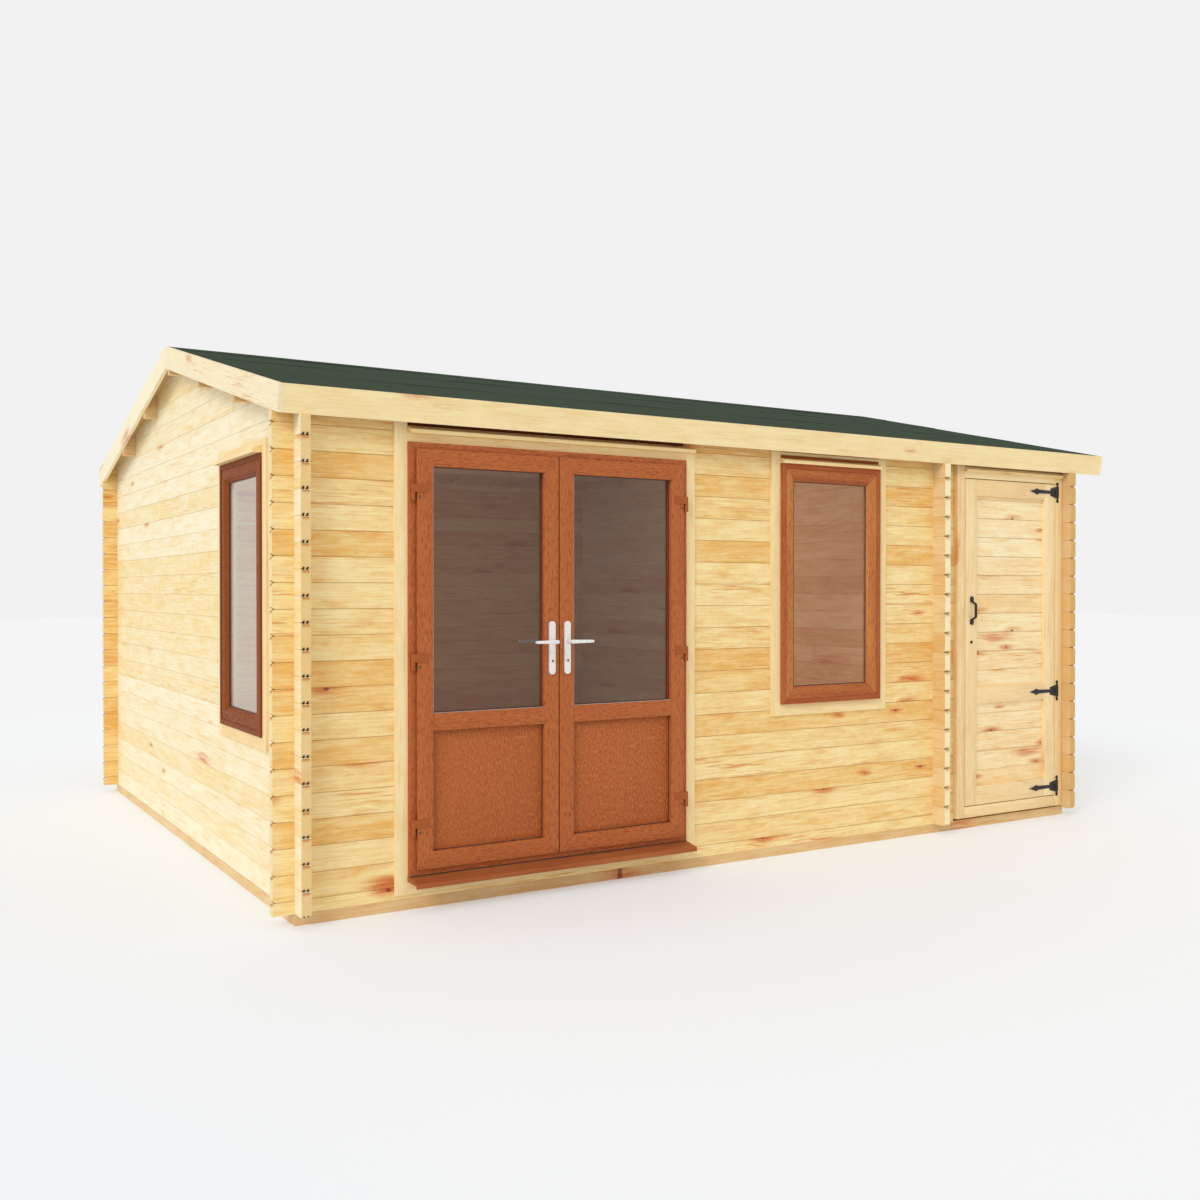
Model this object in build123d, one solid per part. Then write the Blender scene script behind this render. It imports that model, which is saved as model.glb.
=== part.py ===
from build123d import *
import math
import os

# A double-door log cabin with a store room at its right-hand end.
# Millimetres, +Z up, +X to the right along the front, +Y from the front to the back.
# Everything is laid out from the outer corner of the front and left walls, and is moved to the
# middle of the plan when it is written.

# ---- The cabin as a whole ----
LENGTH = 5040          # over the outer faces of the end walls
DEPTH = 4150           # over the outer faces of the front and back walls
STORE_LENGTH = 1136    # from the cross wall's store face to the right wall's outer face

# ---- Logs ----
COURSE = 114           # height of one log
LOG_T = 44             # thickness of a log
LOG_END = 95           # how far the logs run past a crossing
GROOVE = 2             # V joint between two logs, deep and half as high
EASE_IN = 13           # eased corner on a log end, along the log
EASE_UP = 14           # eased corner on a log end, up the log
EASE_BOW = (0.3, 0.4)  # where the eased corner bows out, as shares of the two
VOID_APART = 18        # hollows beside the two tongues, across the log
VOID_W = 8
VOID_H = 7
VOID_DEEP = 12
NOTCH_FIT = 0.3        # play where two logs cross
SEAT = 0.3             # play between a piece and what it is set into

# ---- Base ----
BEARER_H = 52
BEARER_W = 70
BEARER_GAP = 1         # butt joint between two bearers
JOIST_W = 44
JOIST_PITCH = 560
FLOOR_T = 19

# ---- Roof ----
PITCH = 13.5           # degrees
RIDGE_Z = 2833         # top of the felt at the ridge
EAVE_OUT = 108         # fascia's outer top edge in front of the wall
LEFT_OVERHANG = 95     # to the bargeboard's outer face
RIGHT_OVERHANG = 261
FELT_T = 3
ROOF_BOARD_T = 19
FASCIA_H = 122
FASCIA_T = 20
PURLIN_W = 44
PURLIN_H = 138
PURLIN_STEP = 690      # along the plan, from the ridge purlin

# ---- Double door ----
DOOR_X = 516           # outer face of the left jamb
DOOR_W = 1524
DOOR_Z = 154           # top of the cill
DOOR_H = 1958
FRAME_FACE = 40        # width of a jamb
FRAME_DEEP = 70
FRAME_PROUD = 34       # of the wall's outer face
LEAF_INSET = 30        # from the frame's outer edge to the leaf's edge
LEAF_LIP = 16          # lip of the leaf that laps the frame
LEAF_LIP_T = 14
LEAF_BODY_T = 55
LEAF_CLEAR = 5         # between the lip and the frame
MEETING_GAP = 6        # between the two leaves
LEAF_STILE = 78
MID_RAIL_Z = 664       # middle of the mid rail above the leaf's bottom edge
MID_RAIL_H = 82
PANE_T = 24
PANE_BITE = 12         # how deep the pane and the panel sit in the leaf
PANE_BACK = 25         # from the leaf's face to the pane's face
CILL_OUT = 123         # cill's nose in front of the wall
CILL_T = 25
CILL_FALL = 15
CILL_NOSE_T = 9
CILL_NOSE_DROP = 12
CILL_SIDE = 3          # cill past the frame at each side

# ---- Flag hinges of the double door ----
PIN_IN = 12            # from the frame's outer edge to the pin
BARREL_R = 10
BARREL_H = 38          # each of the two halves
BARREL_GAP = 0.3       # running gap between two knuckles
FLAG_L = 74            # from the pin to the end of the flag
FLAG_H = 38
FLAG_T = 4
FLAG_HEIGHTS = (190, 936, 1700)   # above the leaf's bottom edge
JAMB_PLATE_W = 20
JAMB_PLATE_T = 4

# ---- Handles of the double door ----
PLATE_W = 33
PLATE_H = 255
PLATE_T = 8
PLATE_Z = 985          # middle of the plate above the leaf's bottom edge
LEVER_UP = 30          # lever above the plate's middle
LEVER_L = 110          # from its pivot to the round of its tip
LEVER_OUT = 54         # lever's outer face in front of the plate
LEVER_T = 14
LEVER_R = 9
LEVER_END_R = 6.5
KEY_DOWN = 92          # cylinder below the lever
KEY_R = 8.5
KEY_OUT = 3

# ---- Windows ----
WINDOW_W = 722
WINDOW_H = 1309
FRONT_WINDOW_X = 2679
FRONT_WINDOW_Z = 824
SIDE_WINDOW_Y = 437
SIDE_WINDOW_Z = 767
SIDE_FRAME_PROUD = 22
WINDOW_FACE = 73
WINDOW_STEP = 26       # width of the outer frame before the sash steps in
WINDOW_STEP_T = 4
BEAD_W = 21            # sloping bead round the glass
BEAD_LAND = 3          # flat edge of the bead at the glass

# ---- Trim ----
TRIM_W = 62
TRIM_T = 12
TRIM_UP_Z = 2230       # tops of the uprights that end behind the fascia
DOOR_TRIM_W = 68       # the double door's right upright
DOOR_TRIM_Z = 72       # foot of the double door's trim
CAP_OUT = 46           # nose of a drip cap in front of the wall
CAP_NOSE_H = 17
CAP_RISE = 0.43        # slope of a drip cap's top
SIDE_CAP_OUT = 56
DOOR_CAP = (518, 2090, 2151)      # ends and underside
STORE_CAP = (4100, 4984, 2158)

# ---- Store door ----
STORE_FRAME_X = 4034
STORE_FRAME_W = 960
STORE_FRAME_Z = 68
STORE_FRAME_H = 2120
STORE_FRAME_FACE = 66
STORE_POST_Z = 2212    # top of the left post, which ends behind the fascia
STORE_FRAME_PROUD = 30
STORE_GAP = 5
STORE_STOP_W = 15      # door stop inside the frame
STORE_LEAF_T = 40
STORE_STILE = 100
STORE_BOTTOM_RAIL = 113
STORE_MID_RAIL_Z = 665
STORE_RECESS = 20      # boards behind the face of the stiles
STORE_BOARD_T = 14
STORE_BOARD_BITE = 10
STORE_BOARD_H = 116
STORE_BOARD_V = 1.5    # chamfer of the boards' V joints
STORE_LOW_CUT = 62     # part board under the middle rail
STORE_HIGH_CUT = 101   # part board on the middle rail
TEE_PIN_OUT = 6        # pin in front of the leaf's face
TEE_R = 5
TEE_H = 130
TEE_PLATE_W = 25
TEE_T = 4
TEE_KNUCKLE = 30
TEE_SHOULDER = 36      # half the height of the plate between its two lobes
LOBE_W = 21
PULL_H = 172
PULL_W = 14
PULL_T = 9
PULL_PAD_W = 24
PULL_PAD_H = 36
PULL_BOW = 76          # length of the straight middle of the bow
PULL_OUT = 36          # middle of the bow in front of the door
PULL_Z = 1182          # middle of the pull above the leaf's bottom edge
KEYHOLE_R = 9
KEYHOLE_DOWN = 191

# ---- Sizes that follow ----
T = LOG_T
TAN = math.tan(math.radians(PITCH))
COS = math.cos(math.radians(PITCH))
SIN = math.sin(math.radians(PITCH))
RIDGE_Y = DEPTH / 2
RIGHT_X = LENGTH - T
BACK_Y = DEPTH - T
CROSS_X = LENGTH - STORE_LENGTH - T
ROOF_X0 = -LEFT_OVERHANG
ROOF_X1 = LENGTH + RIGHT_OVERHANG
BOARD_D = FELT_T + ROOF_BOARD_T
SIDE_COURSES = 19                       # full logs in a side wall, under its gable
SIDE_TOP = BEARER_H + SIDE_COURSES * COURSE
LEAF_X = DOOR_X + LEAF_INSET
LEAF_Z = DOOR_Z + LEAF_INSET
LEAF_H = DOOR_H - 2 * LEAF_INSET
LEAF_W = (DOOR_W - 2 * LEAF_INSET - MEETING_GAP) / 2
LEAF_BACK = -FRAME_PROUD - LEAF_CLEAR   # back of the lip, front of the body
LEAF_FRONT = LEAF_BACK - LEAF_LIP_T
LEAF_INSIDE = LEAF_BACK + LEAF_BODY_T
PLATE_MID_Z = LEAF_Z + PLATE_Z
LEVER_Z = PLATE_MID_Z + LEVER_UP
PIN_Y = LEAF_FRONT - FLAG_T + BARREL_R
PLAN_MIN_Y = -CILL_OUT
PLAN_MAX_Y = DEPTH + EAVE_OUT
CENTRE_X = (ROOF_X0 + ROOF_X1) / 2
CENTRE_Y = (PLAN_MIN_Y + PLAN_MAX_Y) / 2


def block(x0, x1, y0, y1, z0, z1):
    """A box between two corners."""
    return Pos((x0 + x1) / 2, (y0 + y1) / 2, (z0 + z1) / 2) * Box(x1 - x0, y1 - y0, z1 - z0)


def prism_x(points, x0, x1):
    """A (y, z) outline carried along X."""
    face = Plane.YZ * make_face(Polyline(*points, close=True))
    return Pos(x0, 0, 0) * extrude(face, amount=x1 - x0, dir=(1, 0, 0))


def prism_y(points, y0, y1):
    """An (x, z) outline carried along Y."""
    face = make_face(Polyline(*[(x, 0, z) for x, z in points], close=True))
    return Pos(0, y0, 0) * extrude(face, amount=y1 - y0, dir=(0, 1, 0))


def sheet_y(sketch, y0, y1):
    """A sketch in x and z carried along Y."""
    return Pos(0, y0, 0) * extrude(Plane.XZ * sketch, amount=y1 - y0, dir=(0, 1, 0))


def solids_of(*shapes):
    """Separate solids that share one sub-part."""
    return Compound(children=[s for shape in shapes for s in shape.solids()])


# ---- Log walls ----
# A wall is drawn running along X with its thickness from y = 0 to T, and is then placed.
# Side walls start with a whole log on the bearers, and the front and back with half a log, so
# that every log is half a course above the one that it crosses.

def joints(low, high, half):
    """Heights of the joints between courses from low to high."""
    first = BEARER_H + (COURSE / 2 if half else 0)
    found = []
    z = first
    while z < high + 0.01:
        if z > low - 0.01:
            found.append(z)
        z += COURSE
    return found


def log_section(low, high, half):
    """Outline of a stack of logs, with a V joint at each course on both faces."""
    outer = []
    if not any(abs(z - low) < 0.01 for z in joints(low, high, half)):
        outer.append((0, low))
    for z in joints(low, high, half):
        if z > low + 0.01:
            outer.append((0, z - GROOVE))
        outer.append((GROOVE, z))
        if z < high - 0.01:
            outer.append((0, z + GROOVE))
    if not any(abs(z - high) < 0.01 for z in joints(low, high, half)):
        outer.append((0, high))
    inner = [(T - y, z) for y, z in reversed(outer)]
    return outer + inner


def eased_outline(x0, x1, low, high, half, ends):
    """Side view of a stack whose free ends are eased at each course."""
    points = []
    for x, side, free in ((x0, 1, ends[0]), (x1, -1, ends[1])):
        line = [(x, low - 1)]
        for z in joints(low, high, half):
            if free:
                deep = x + side * EASE_IN
                bow = x + side * EASE_IN * EASE_BOW[0]
                up = EASE_UP * EASE_BOW[1]
                line += [(x, z - EASE_UP), (bow, z - up), (deep, z - GROOVE / 2)]
                line += [(deep, z + GROOVE / 2), (bow, z + up), (x, z + EASE_UP)]
        line.append((x, high + 1))
        line = [(a, min(max(b, low - 1), high + 1)) for a, b in line]
        points += line if side == 1 else line[::-1]
    tidy = []
    for p in points:
        if not tidy or abs(p[0] - tidy[-1][0]) + abs(p[1] - tidy[-1][1]) > 0.01:
            tidy.append(p)
    return tidy[::-1]


def end_voids(x, inward, low, high, half):
    """Pairs of hollows that the double tongues leave in a log end."""
    cuts = []
    x0, x1 = sorted((x - inward, x + inward * (EASE_IN + VOID_DEEP)))
    for z in joints(low, high, half):
        for y in (T / 2 - VOID_APART / 2, T / 2 + VOID_APART / 2):
            cuts.append(block(x0, x1, y - VOID_W / 2, y + VOID_W / 2, z - VOID_H / 2, z + VOID_H / 2))
    return cuts


def crossing_cuts(at, low, high, half):
    """Notches where the wall is crossed: every log keeps the middle half of its height."""
    shift = COURSE / 2 if half else 0
    cuts = []
    k = -1
    while True:
        z = BEARER_H + shift + k * COURSE
        if z - COURSE / 4 > high:
            break
        if z + COURSE / 4 > low:
            cuts.append(block(at - NOTCH_FIT, at + T + NOTCH_FIT, -1, T + 1,
                              z - COURSE / 4 - NOTCH_FIT / 2, z + COURSE / 4 + NOTCH_FIT / 2))
        k += 1
    return cuts


def log_stack(x0, x1, low, high, half, crossings=(), ends=(False, False)):
    """Courses of logs laid on one another, notched at each crossing."""
    wall = prism_x(log_section(low, high, half), x0, x1)
    if any(ends):
        wall = wall & prism_y(eased_outline(x0, x1, low, high, half, ends), -1, T + 1)
    cuts = []
    for at in crossings:
        cuts += crossing_cuts(at, low, high, half)
    if ends[0]:
        cuts += end_voids(x0, 1, low, high, half)
    if ends[1]:
        cuts += end_voids(x1, -1, low, high, half)
    return wall - cuts if cuts else wall


def split_at_opening(x0, x1, low, high, half, hole, crossings=(), ends=(False, False)):
    """A wall round a window: whole stacks under and over it, short logs beside it."""
    hole_x0, hole_x1, hole_z0, hole_z1 = hole
    levels = joints(low, high, half)
    sill = max(z for z in levels if z < hole_z0)
    sill_top = sill + COURSE
    head_top = min(z for z in levels if z > hole_z1)
    head = head_top - COURSE
    opening = block(hole_x0, hole_x1, -1, T + 1, hole_z0, hole_z1)
    gap = NOTCH_FIT / 2

    def crossed(a, b):
        return [at for at in crossings if at > a - T - 1 and at < b + 1]

    def stack(a, b, z0, z1, free):
        z0 = z0 + gap if z0 > low else z0
        z1 = z1 - gap if z1 < high else z1
        return trimmed_stack(a, b, z0, z1, half, crossed(a, b), free)

    parts = [stack(x0, x1, low, sill, ends)]
    parts.append(stack(x0, x1, sill, sill_top, ends) - opening)
    parts.append(stack(x0, hole_x0, sill_top, head, (ends[0], False)))
    parts.append(stack(hole_x1, x1, sill_top, head, (False, ends[1])))
    parts.append(stack(x0, x1, head, head_top, ends) - opening)
    parts.append(stack(x0, x1, head_top, high, ends))
    return parts


def trimmed_stack(x0, x1, low, high, half, crossings, ends):
    """A stack whose joints are counted from the whole wall, cut to its own height."""
    grown = log_stack(x0, x1, low - VOID_H, high + VOID_H, half, crossings, ends)
    return grown & block(x0 - 1, x1 + 1, -1, T + 1, low, high)


def run_along_y(shape, x):
    """Turn a wall that runs along X so that it runs along Y, with its left face at x."""
    return Pos(x + T, 0, 0) * (Rot(0, 0, 90) * shape)


# ---- Roof planes ----

def roof_z(y, depth):
    """Height at y of the plane that lies depth below the top of the roof, square to it."""
    return RIDGE_Z - abs(y - RIDGE_Y) * TAN - depth / COS


def slope_point(along, depth):
    """A point of the front slope: along it from the eave's top edge, and depth below it."""
    y = -EAVE_OUT + along * COS + depth * SIN
    z = roof_z(-EAVE_OUT, 0) + along * SIN - depth * COS
    return (y, z)


def mirrored(points):
    """The same outline on the back slope."""
    return [(2 * RIDGE_Y - y, z) for y, z in reversed(points)]


def slope_layer(top, bottom, along):
    """Section of one layer of the front slope, from along to the ridge."""
    return [slope_point(along, top), (RIDGE_Y - SEAT / 2, roof_z(RIDGE_Y - SEAT / 2, top)),
            (RIDGE_Y - SEAT / 2, roof_z(RIDGE_Y - SEAT / 2, bottom)), slope_point(along, bottom)]


def under_roof():
    """The space that the walls may fill: inside the fascias and under the roof boards."""
    low = slope_point(0, FASCIA_H)[1] - SEAT
    inner = [slope_point(FASCIA_T + SEAT, FASCIA_H), slope_point(FASCIA_T + SEAT, BOARD_D + SEAT)]
    left = [(-EAVE_OUT - LOG_END, -1), (-EAVE_OUT - LOG_END, low), (inner[0][0], low)] + inner
    ridge = [(RIDGE_Y, roof_z(RIDGE_Y, BOARD_D + SEAT))]
    space = prism_x(left + ridge + mirrored(left), ROOF_X0 - 1, ROOF_X1 + 1)
    drop = FASCIA_H + SEAT
    side = [(-EAVE_OUT - LOG_END, RIDGE_Z * 2), (-EAVE_OUT - LOG_END, roof_z(-EAVE_OUT - LOG_END, drop))]
    verge = side + [(RIDGE_Y, roof_z(RIDGE_Y, drop))] + mirrored(side)
    return space - prism_x(verge, ROOF_X0 - 2, ROOF_X0 + FASCIA_T + SEAT)


def purlin_lines():
    """Middle lines of the purlins, from the front to the back."""
    return [RIDGE_Y + k * PURLIN_STEP for k in (-2, -1, 0, 1, 2)]


def purlin(y, grow=0):
    """One purlin, with its top planed to the slope, or the notch that it lies in."""
    low = roof_z(abs(y - RIDGE_Y) + RIDGE_Y, BOARD_D) - PURLIN_H - grow
    x0 = ROOF_X0 + FASCIA_T
    x1 = ROOF_X1 - FASCIA_T
    beam = block(x0 - grow, x1 + grow, y - PURLIN_W / 2 - grow, y + PURLIN_W / 2 + grow, low, RIDGE_Z)
    if grow:
        return beam
    side = [(-EAVE_OUT, 0), slope_point(0, BOARD_D)]
    under = side + [(RIDGE_Y, roof_z(RIDGE_Y, BOARD_D))] + mirrored(side)
    return beam & prism_x(under, x0 - 1, x1 + 1)


def purlins():
    """Five purlins that run from verge to verge."""
    return solids_of(*[purlin(y) for y in purlin_lines()])


def roof_boards():
    """Boarded deck, one solid a slope."""
    section = slope_layer(FELT_T, BOARD_D, FASCIA_T)
    x0 = ROOF_X0 + FASCIA_T
    x1 = ROOF_X1 - FASCIA_T
    return solids_of(prism_x(section, x0, x1), prism_x(mirrored(section), x0, x1))


def roof_felt():
    """Felt laid over the deck, one sheet a slope."""
    section = slope_layer(0, FELT_T, FASCIA_T)
    x0 = ROOF_X0 + FASCIA_T
    x1 = ROOF_X1 - FASCIA_T
    return solids_of(prism_x(section, x0, x1), prism_x(mirrored(section), x0, x1))


def fascias():
    """Boards along the front and back eaves, square to the slope."""
    section = [slope_point(0, 0), slope_point(FASCIA_T, 0),
               slope_point(FASCIA_T, FASCIA_H), slope_point(0, FASCIA_H)]
    x0 = ROOF_X0 + FASCIA_T
    x1 = ROOF_X1 - FASCIA_T
    return prism_x(section, x0, x1), prism_x(mirrored(section), x0, x1)


def bargeboards(x0):
    """A pair of boards up the verge, meeting at the ridge."""
    section = slope_layer(0, FASCIA_H, 0)
    return solids_of(prism_x(section, x0, x0 + FASCIA_T), prism_x(mirrored(section), x0, x0 + FASCIA_T))


# ---- Walls in place ----

def side_wall(x, window=None):
    """An end wall or the cross wall, up to the foot of its gable."""
    span = (-LOG_END, DEPTH + LOG_END)
    crossings = (0, BACK_Y)
    if window:
        parts = split_at_opening(*span, BEARER_H, SIDE_TOP, False, window, crossings, (True, True))
    else:
        parts = [trimmed_stack(*span, BEARER_H, SIDE_TOP, False, crossings, (True, True))]
    roof = under_roof()
    return solids_of(*[run_along_y(part, x) & roof for part in parts])


def gable(x):
    """Logs above a side wall, cut to the slopes and notched for the purlins."""
    stack = trimmed_stack(-LOG_END, DEPTH + LOG_END, SIDE_TOP + NOTCH_FIT / 2, RIDGE_Z, False,
                          (0, BACK_Y), (False, False))
    wall = run_along_y(stack, x) & under_roof()
    return wall - [purlin(y, SEAT) for y in purlin_lines()]


def long_stack(x0, x1, low, high, crossings=(), ends=(False, False)):
    """Logs of the front or back wall, with the top bevelled to the slope."""
    return trimmed_stack(x0, x1, low, high, True, crossings, ends) & under_roof()


def back_wall():
    """Back wall, crossed by the two end walls and the cross wall."""
    stack = long_stack(-LOG_END, LENGTH + LOG_END, BEARER_H, RIDGE_Z, (0, CROSS_X, RIGHT_X), (True, True))
    return mirror(stack, Plane.XZ.offset(-DEPTH / 2))


def front_left():
    """Front wall from its left log ends to the double door."""
    return long_stack(-LOG_END, DOOR_X - SEAT, BEARER_H, RIDGE_Z, (0,), (True, False))


def front_under_door():
    """What carries the cill of the double door."""
    return long_stack(DOOR_X - SEAT, DOOR_X + DOOR_W + SEAT, BEARER_H, DOOR_Z - CILL_T)


def front_over_door():
    """Logs over the double door."""
    return long_stack(DOOR_X - SEAT, DOOR_X + DOOR_W + SEAT, DOOR_Z + DOOR_H + SEAT, RIDGE_Z)


def front_middle():
    """Front wall round the window, from the double door to the store door."""
    hole = (FRONT_WINDOW_X - SEAT, FRONT_WINDOW_X + WINDOW_W + SEAT,
            FRONT_WINDOW_Z - SEAT, FRONT_WINDOW_Z + WINDOW_H + SEAT)
    parts = split_at_opening(DOOR_X + DOOR_W + SEAT, STORE_FRAME_X - SEAT, BEARER_H, RIDGE_Z, True,
                             hole, (CROSS_X,), (False, False))
    roof = under_roof()
    return solids_of(*[part & roof for part in parts])


def front_over_store():
    """Logs over the store door."""
    return long_stack(STORE_FRAME_X - SEAT, STORE_FRAME_X + STORE_FRAME_W + SEAT,
                      STORE_FRAME_Z + STORE_FRAME_H + SEAT, RIDGE_Z)


def front_right():
    """Front wall's log ends at the right corner."""
    return long_stack(STORE_FRAME_X + STORE_FRAME_W + SEAT, LENGTH + LOG_END, BEARER_H, RIDGE_Z,
                      (RIGHT_X,), (False, True))


# ---- Base and floors ----

def bearers():
    """Bearers under the walls, butted at the corners, and joists between them."""
    w = BEARER_W
    g = BEARER_GAP
    split = CROSS_X + T
    pieces = []
    for y in (0, DEPTH - w):
        pieces.append(block(0, split - g / 2, y, y + w, 0, BEARER_H))
        pieces.append(block(split + g / 2, LENGTH, y, y + w, 0, BEARER_H))
    for x in (0, CROSS_X, LENGTH - w):
        pieces.append(block(x, x + w, w + g, DEPTH - w - g, 0, BEARER_H))
    for x0, x1 in ((w, CROSS_X), (CROSS_X + w, LENGTH - w)):
        count = round((x1 - x0) / JOIST_PITCH)
        for k in range(1, count):
            x = x0 + (x1 - x0) * k / count
            pieces.append(block(x - JOIST_W / 2, x + JOIST_W / 2, w + g, DEPTH - w - g, 0, BEARER_H))
    return solids_of(*pieces)


def floors():
    """Boarded floor of the room and of the store, laid inside the walls."""
    z0 = BEARER_H
    z1 = BEARER_H + FLOOR_T
    return solids_of(block(T + SEAT, CROSS_X - SEAT, T + SEAT, BACK_Y - SEAT, z0, z1),
                     block(CROSS_X + T + SEAT, RIGHT_X - SEAT, T + SEAT, BACK_Y - SEAT, z0, z1))


# ---- Double door ----

def ring(x0, x1, z0, z1, face, y0, y1):
    """A rectangular frame."""
    hole = block(x0 + face, x1 - face, y0 - 1, y1 + 1, z0 + face, z1 - face)
    return block(x0, x1, y0, y1, z0, z1) - hole


def door_frame():
    """Jambs, head and threshold of the double door."""
    return ring(DOOR_X, DOOR_X + DOOR_W, DOOR_Z, DOOR_Z + DOOR_H, FRAME_FACE,
                -FRAME_PROUD, FRAME_DEEP - FRAME_PROUD)


def door_cill():
    """Cill under the frame, sloping to a dripping nose."""
    top = DOOR_Z
    nose_top = top - CILL_FALL
    back = FRAME_DEEP - FRAME_PROUD
    bottom = top - CILL_T
    foot = bottom - CILL_NOSE_DROP
    outline = [(back, top), (-FRAME_PROUD, top), (-CILL_OUT + CILL_NOSE_T / 2, nose_top),
               (-CILL_OUT, nose_top - CILL_NOSE_T / 2), (-CILL_OUT, foot), (-CILL_OUT + CILL_NOSE_T, foot),
               (-CILL_OUT + CILL_NOSE_T, bottom + 1), (-CILL_OUT + 2 * CILL_NOSE_T, bottom), (back, bottom)]
    x0 = DOOR_X
    x1 = DOOR_X + DOOR_W
    full = prism_x(outline, x0 - CILL_SIDE, x1 + CILL_SIDE)
    behind = (-TRIM_T - SEAT, back + 1, foot - 1, top + 1)
    return full - [block(x0 - CILL_SIDE - 1, x0, *behind), block(x1, x1 + CILL_SIDE + 1, *behind)]


def leaf_openings():
    """Openings of the left leaf for its glass and its lower panel, as (x0, x1, z0, z1)."""
    x0 = LEAF_X + LEAF_STILE
    x1 = LEAF_X + LEAF_W - LEAF_STILE
    rail = LEAF_Z + MID_RAIL_Z
    glass = (x0, x1, rail + MID_RAIL_H / 2, LEAF_Z + LEAF_H - LEAF_STILE)
    panel = (x0, x1, LEAF_Z + LEAF_STILE, rail - MID_RAIL_H / 2)
    return glass, panel


def pane(opening, grow=0):
    """The glass or the panel that sits in an opening of the left leaf, or its groove."""
    x0, x1, z0, z1 = opening
    bite = PANE_BITE + grow
    y0 = LEAF_FRONT + PANE_BACK - grow
    return block(x0 - bite, x1 + bite, y0, y0 + PANE_T + 2 * grow, z0 - bite, z1 + bite)


def left_leaf():
    """Left leaf: stiles and rails with a lip that laps the frame in front."""
    lip = block(LEAF_X, LEAF_X + LEAF_W, LEAF_FRONT, LEAF_BACK, LEAF_Z, LEAF_Z + LEAF_H)
    body = block(LEAF_X + LEAF_LIP, LEAF_X + LEAF_W - LEAF_LIP, LEAF_BACK, LEAF_INSIDE,
                 LEAF_Z + LEAF_LIP, LEAF_Z + LEAF_H - LEAF_LIP)
    leaf = lip + body
    for opening in leaf_openings():
        x0, x1, z0, z1 = opening
        leaf -= block(x0, x1, LEAF_FRONT - 1, LEAF_INSIDE + 1, z0, z1)
        leaf -= pane(opening, SEAT)
    return leaf


def meeting_stile_x():
    """Middle of the left leaf's meeting stile."""
    return LEAF_X + LEAF_W - LEAF_STILE / 2


def round_y(x, z, r, y0, y1):
    """A bar along Y."""
    return Pos(x, (y0 + y1) / 2, z) * (Rot(90, 0, 0) * Cylinder(r, y1 - y0))


def round_z(x, y, r, z0, z1):
    """A bar along Z."""
    return Pos(x, y, (z0 + z1) / 2) * Cylinder(r, z1 - z0)


def left_plates():
    """Outside and inside handle plates of the left leaf, with the key cylinder."""
    x = meeting_stile_x()
    z = PLATE_MID_Z
    plates = []
    for y0, y1 in ((LEAF_FRONT - PLATE_T, LEAF_FRONT), (LEAF_INSIDE, LEAF_INSIDE + PLATE_T)):
        slot = sheet_y(Pos(x, z) * SlotOverall(PLATE_H, PLATE_W, rotation=90), y0, y1)
        hole = round_y(x, LEVER_Z, LEVER_R + SEAT, y0 - 1, y1 + 1)
        y_key = y0 - KEY_OUT if y0 < 0 else y1
        plates.append(slot - hole + round_y(x, LEVER_Z - KEY_DOWN, KEY_R, y_key, y_key + KEY_OUT))
    return solids_of(*plates)


def left_levers():
    """Outside and inside levers of the left leaf, which turn together."""
    x = meeting_stile_x()
    levers = []
    for face, out in ((LEAF_FRONT, -1), (LEAF_INSIDE, 1)):
        end = face + out * (PLATE_T + LEVER_OUT)
        neck = round_y(x, LEVER_Z, LEVER_R, *sorted((face + out * SEAT, end)))
        root = Pos(x, LEVER_Z) * Circle(LEVER_R)
        tip = Pos(x - LEVER_L, LEVER_Z) * Circle(LEVER_END_R)
        arm = sheet_y(make_hull((root + tip).edges()), *sorted((end - out * LEVER_T, end)))
        levers.append(neck + arm)
    return solids_of(*levers)


def hinge_heights():
    """Middle height of each flag hinge."""
    return [LEAF_Z + h for h in FLAG_HEIGHTS]


def left_frame_hinges():
    """Lower half of each flag hinge, screwed to the left jamb."""
    x = DOOR_X + PIN_IN
    halves = []
    for z in hinge_heights():
        barrel = round_z(x, PIN_Y, BARREL_R, z - BARREL_H, z - BARREL_GAP / 2)
        span = (z - BARREL_H, z - BARREL_GAP / 2)
        plate = block(x - JAMB_PLATE_W / 2, x + JAMB_PLATE_W / 2,
                      -FRAME_PROUD - JAMB_PLATE_T, -FRAME_PROUD, *span)
        web = block(x - JAMB_PLATE_T, x + JAMB_PLATE_T, PIN_Y, -FRAME_PROUD, *span)
        halves.append(barrel + plate + web)
    return solids_of(*halves)


def left_leaf_hinges():
    """Upper half of each flag hinge, with its flag on the face of the left leaf."""
    x = DOOR_X + PIN_IN
    halves = []
    for z in hinge_heights():
        barrel = round_z(x, PIN_Y, BARREL_R, z + BARREL_GAP / 2, z + BARREL_H)
        flag = block(x, x + FLAG_L, LEAF_FRONT - FLAG_T, LEAF_FRONT, z + BARREL_GAP / 2, z + FLAG_H)
        halves.append(barrel + flag)
    return solids_of(*halves)


def to_right(shape):
    """The mirror image of a piece of the left half of the double door."""
    return mirror(shape, Plane.YZ.offset(DOOR_X + DOOR_W / 2))


# ---- Windows ----

def window_hole(x, z, inset):
    """A rectangle inside a window's outer edges, in x and z."""
    middle = Pos(x + WINDOW_W / 2, z + WINDOW_H / 2)
    return middle * Rectangle(WINDOW_W - 2 * inset, WINDOW_H - 2 * inset)


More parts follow.
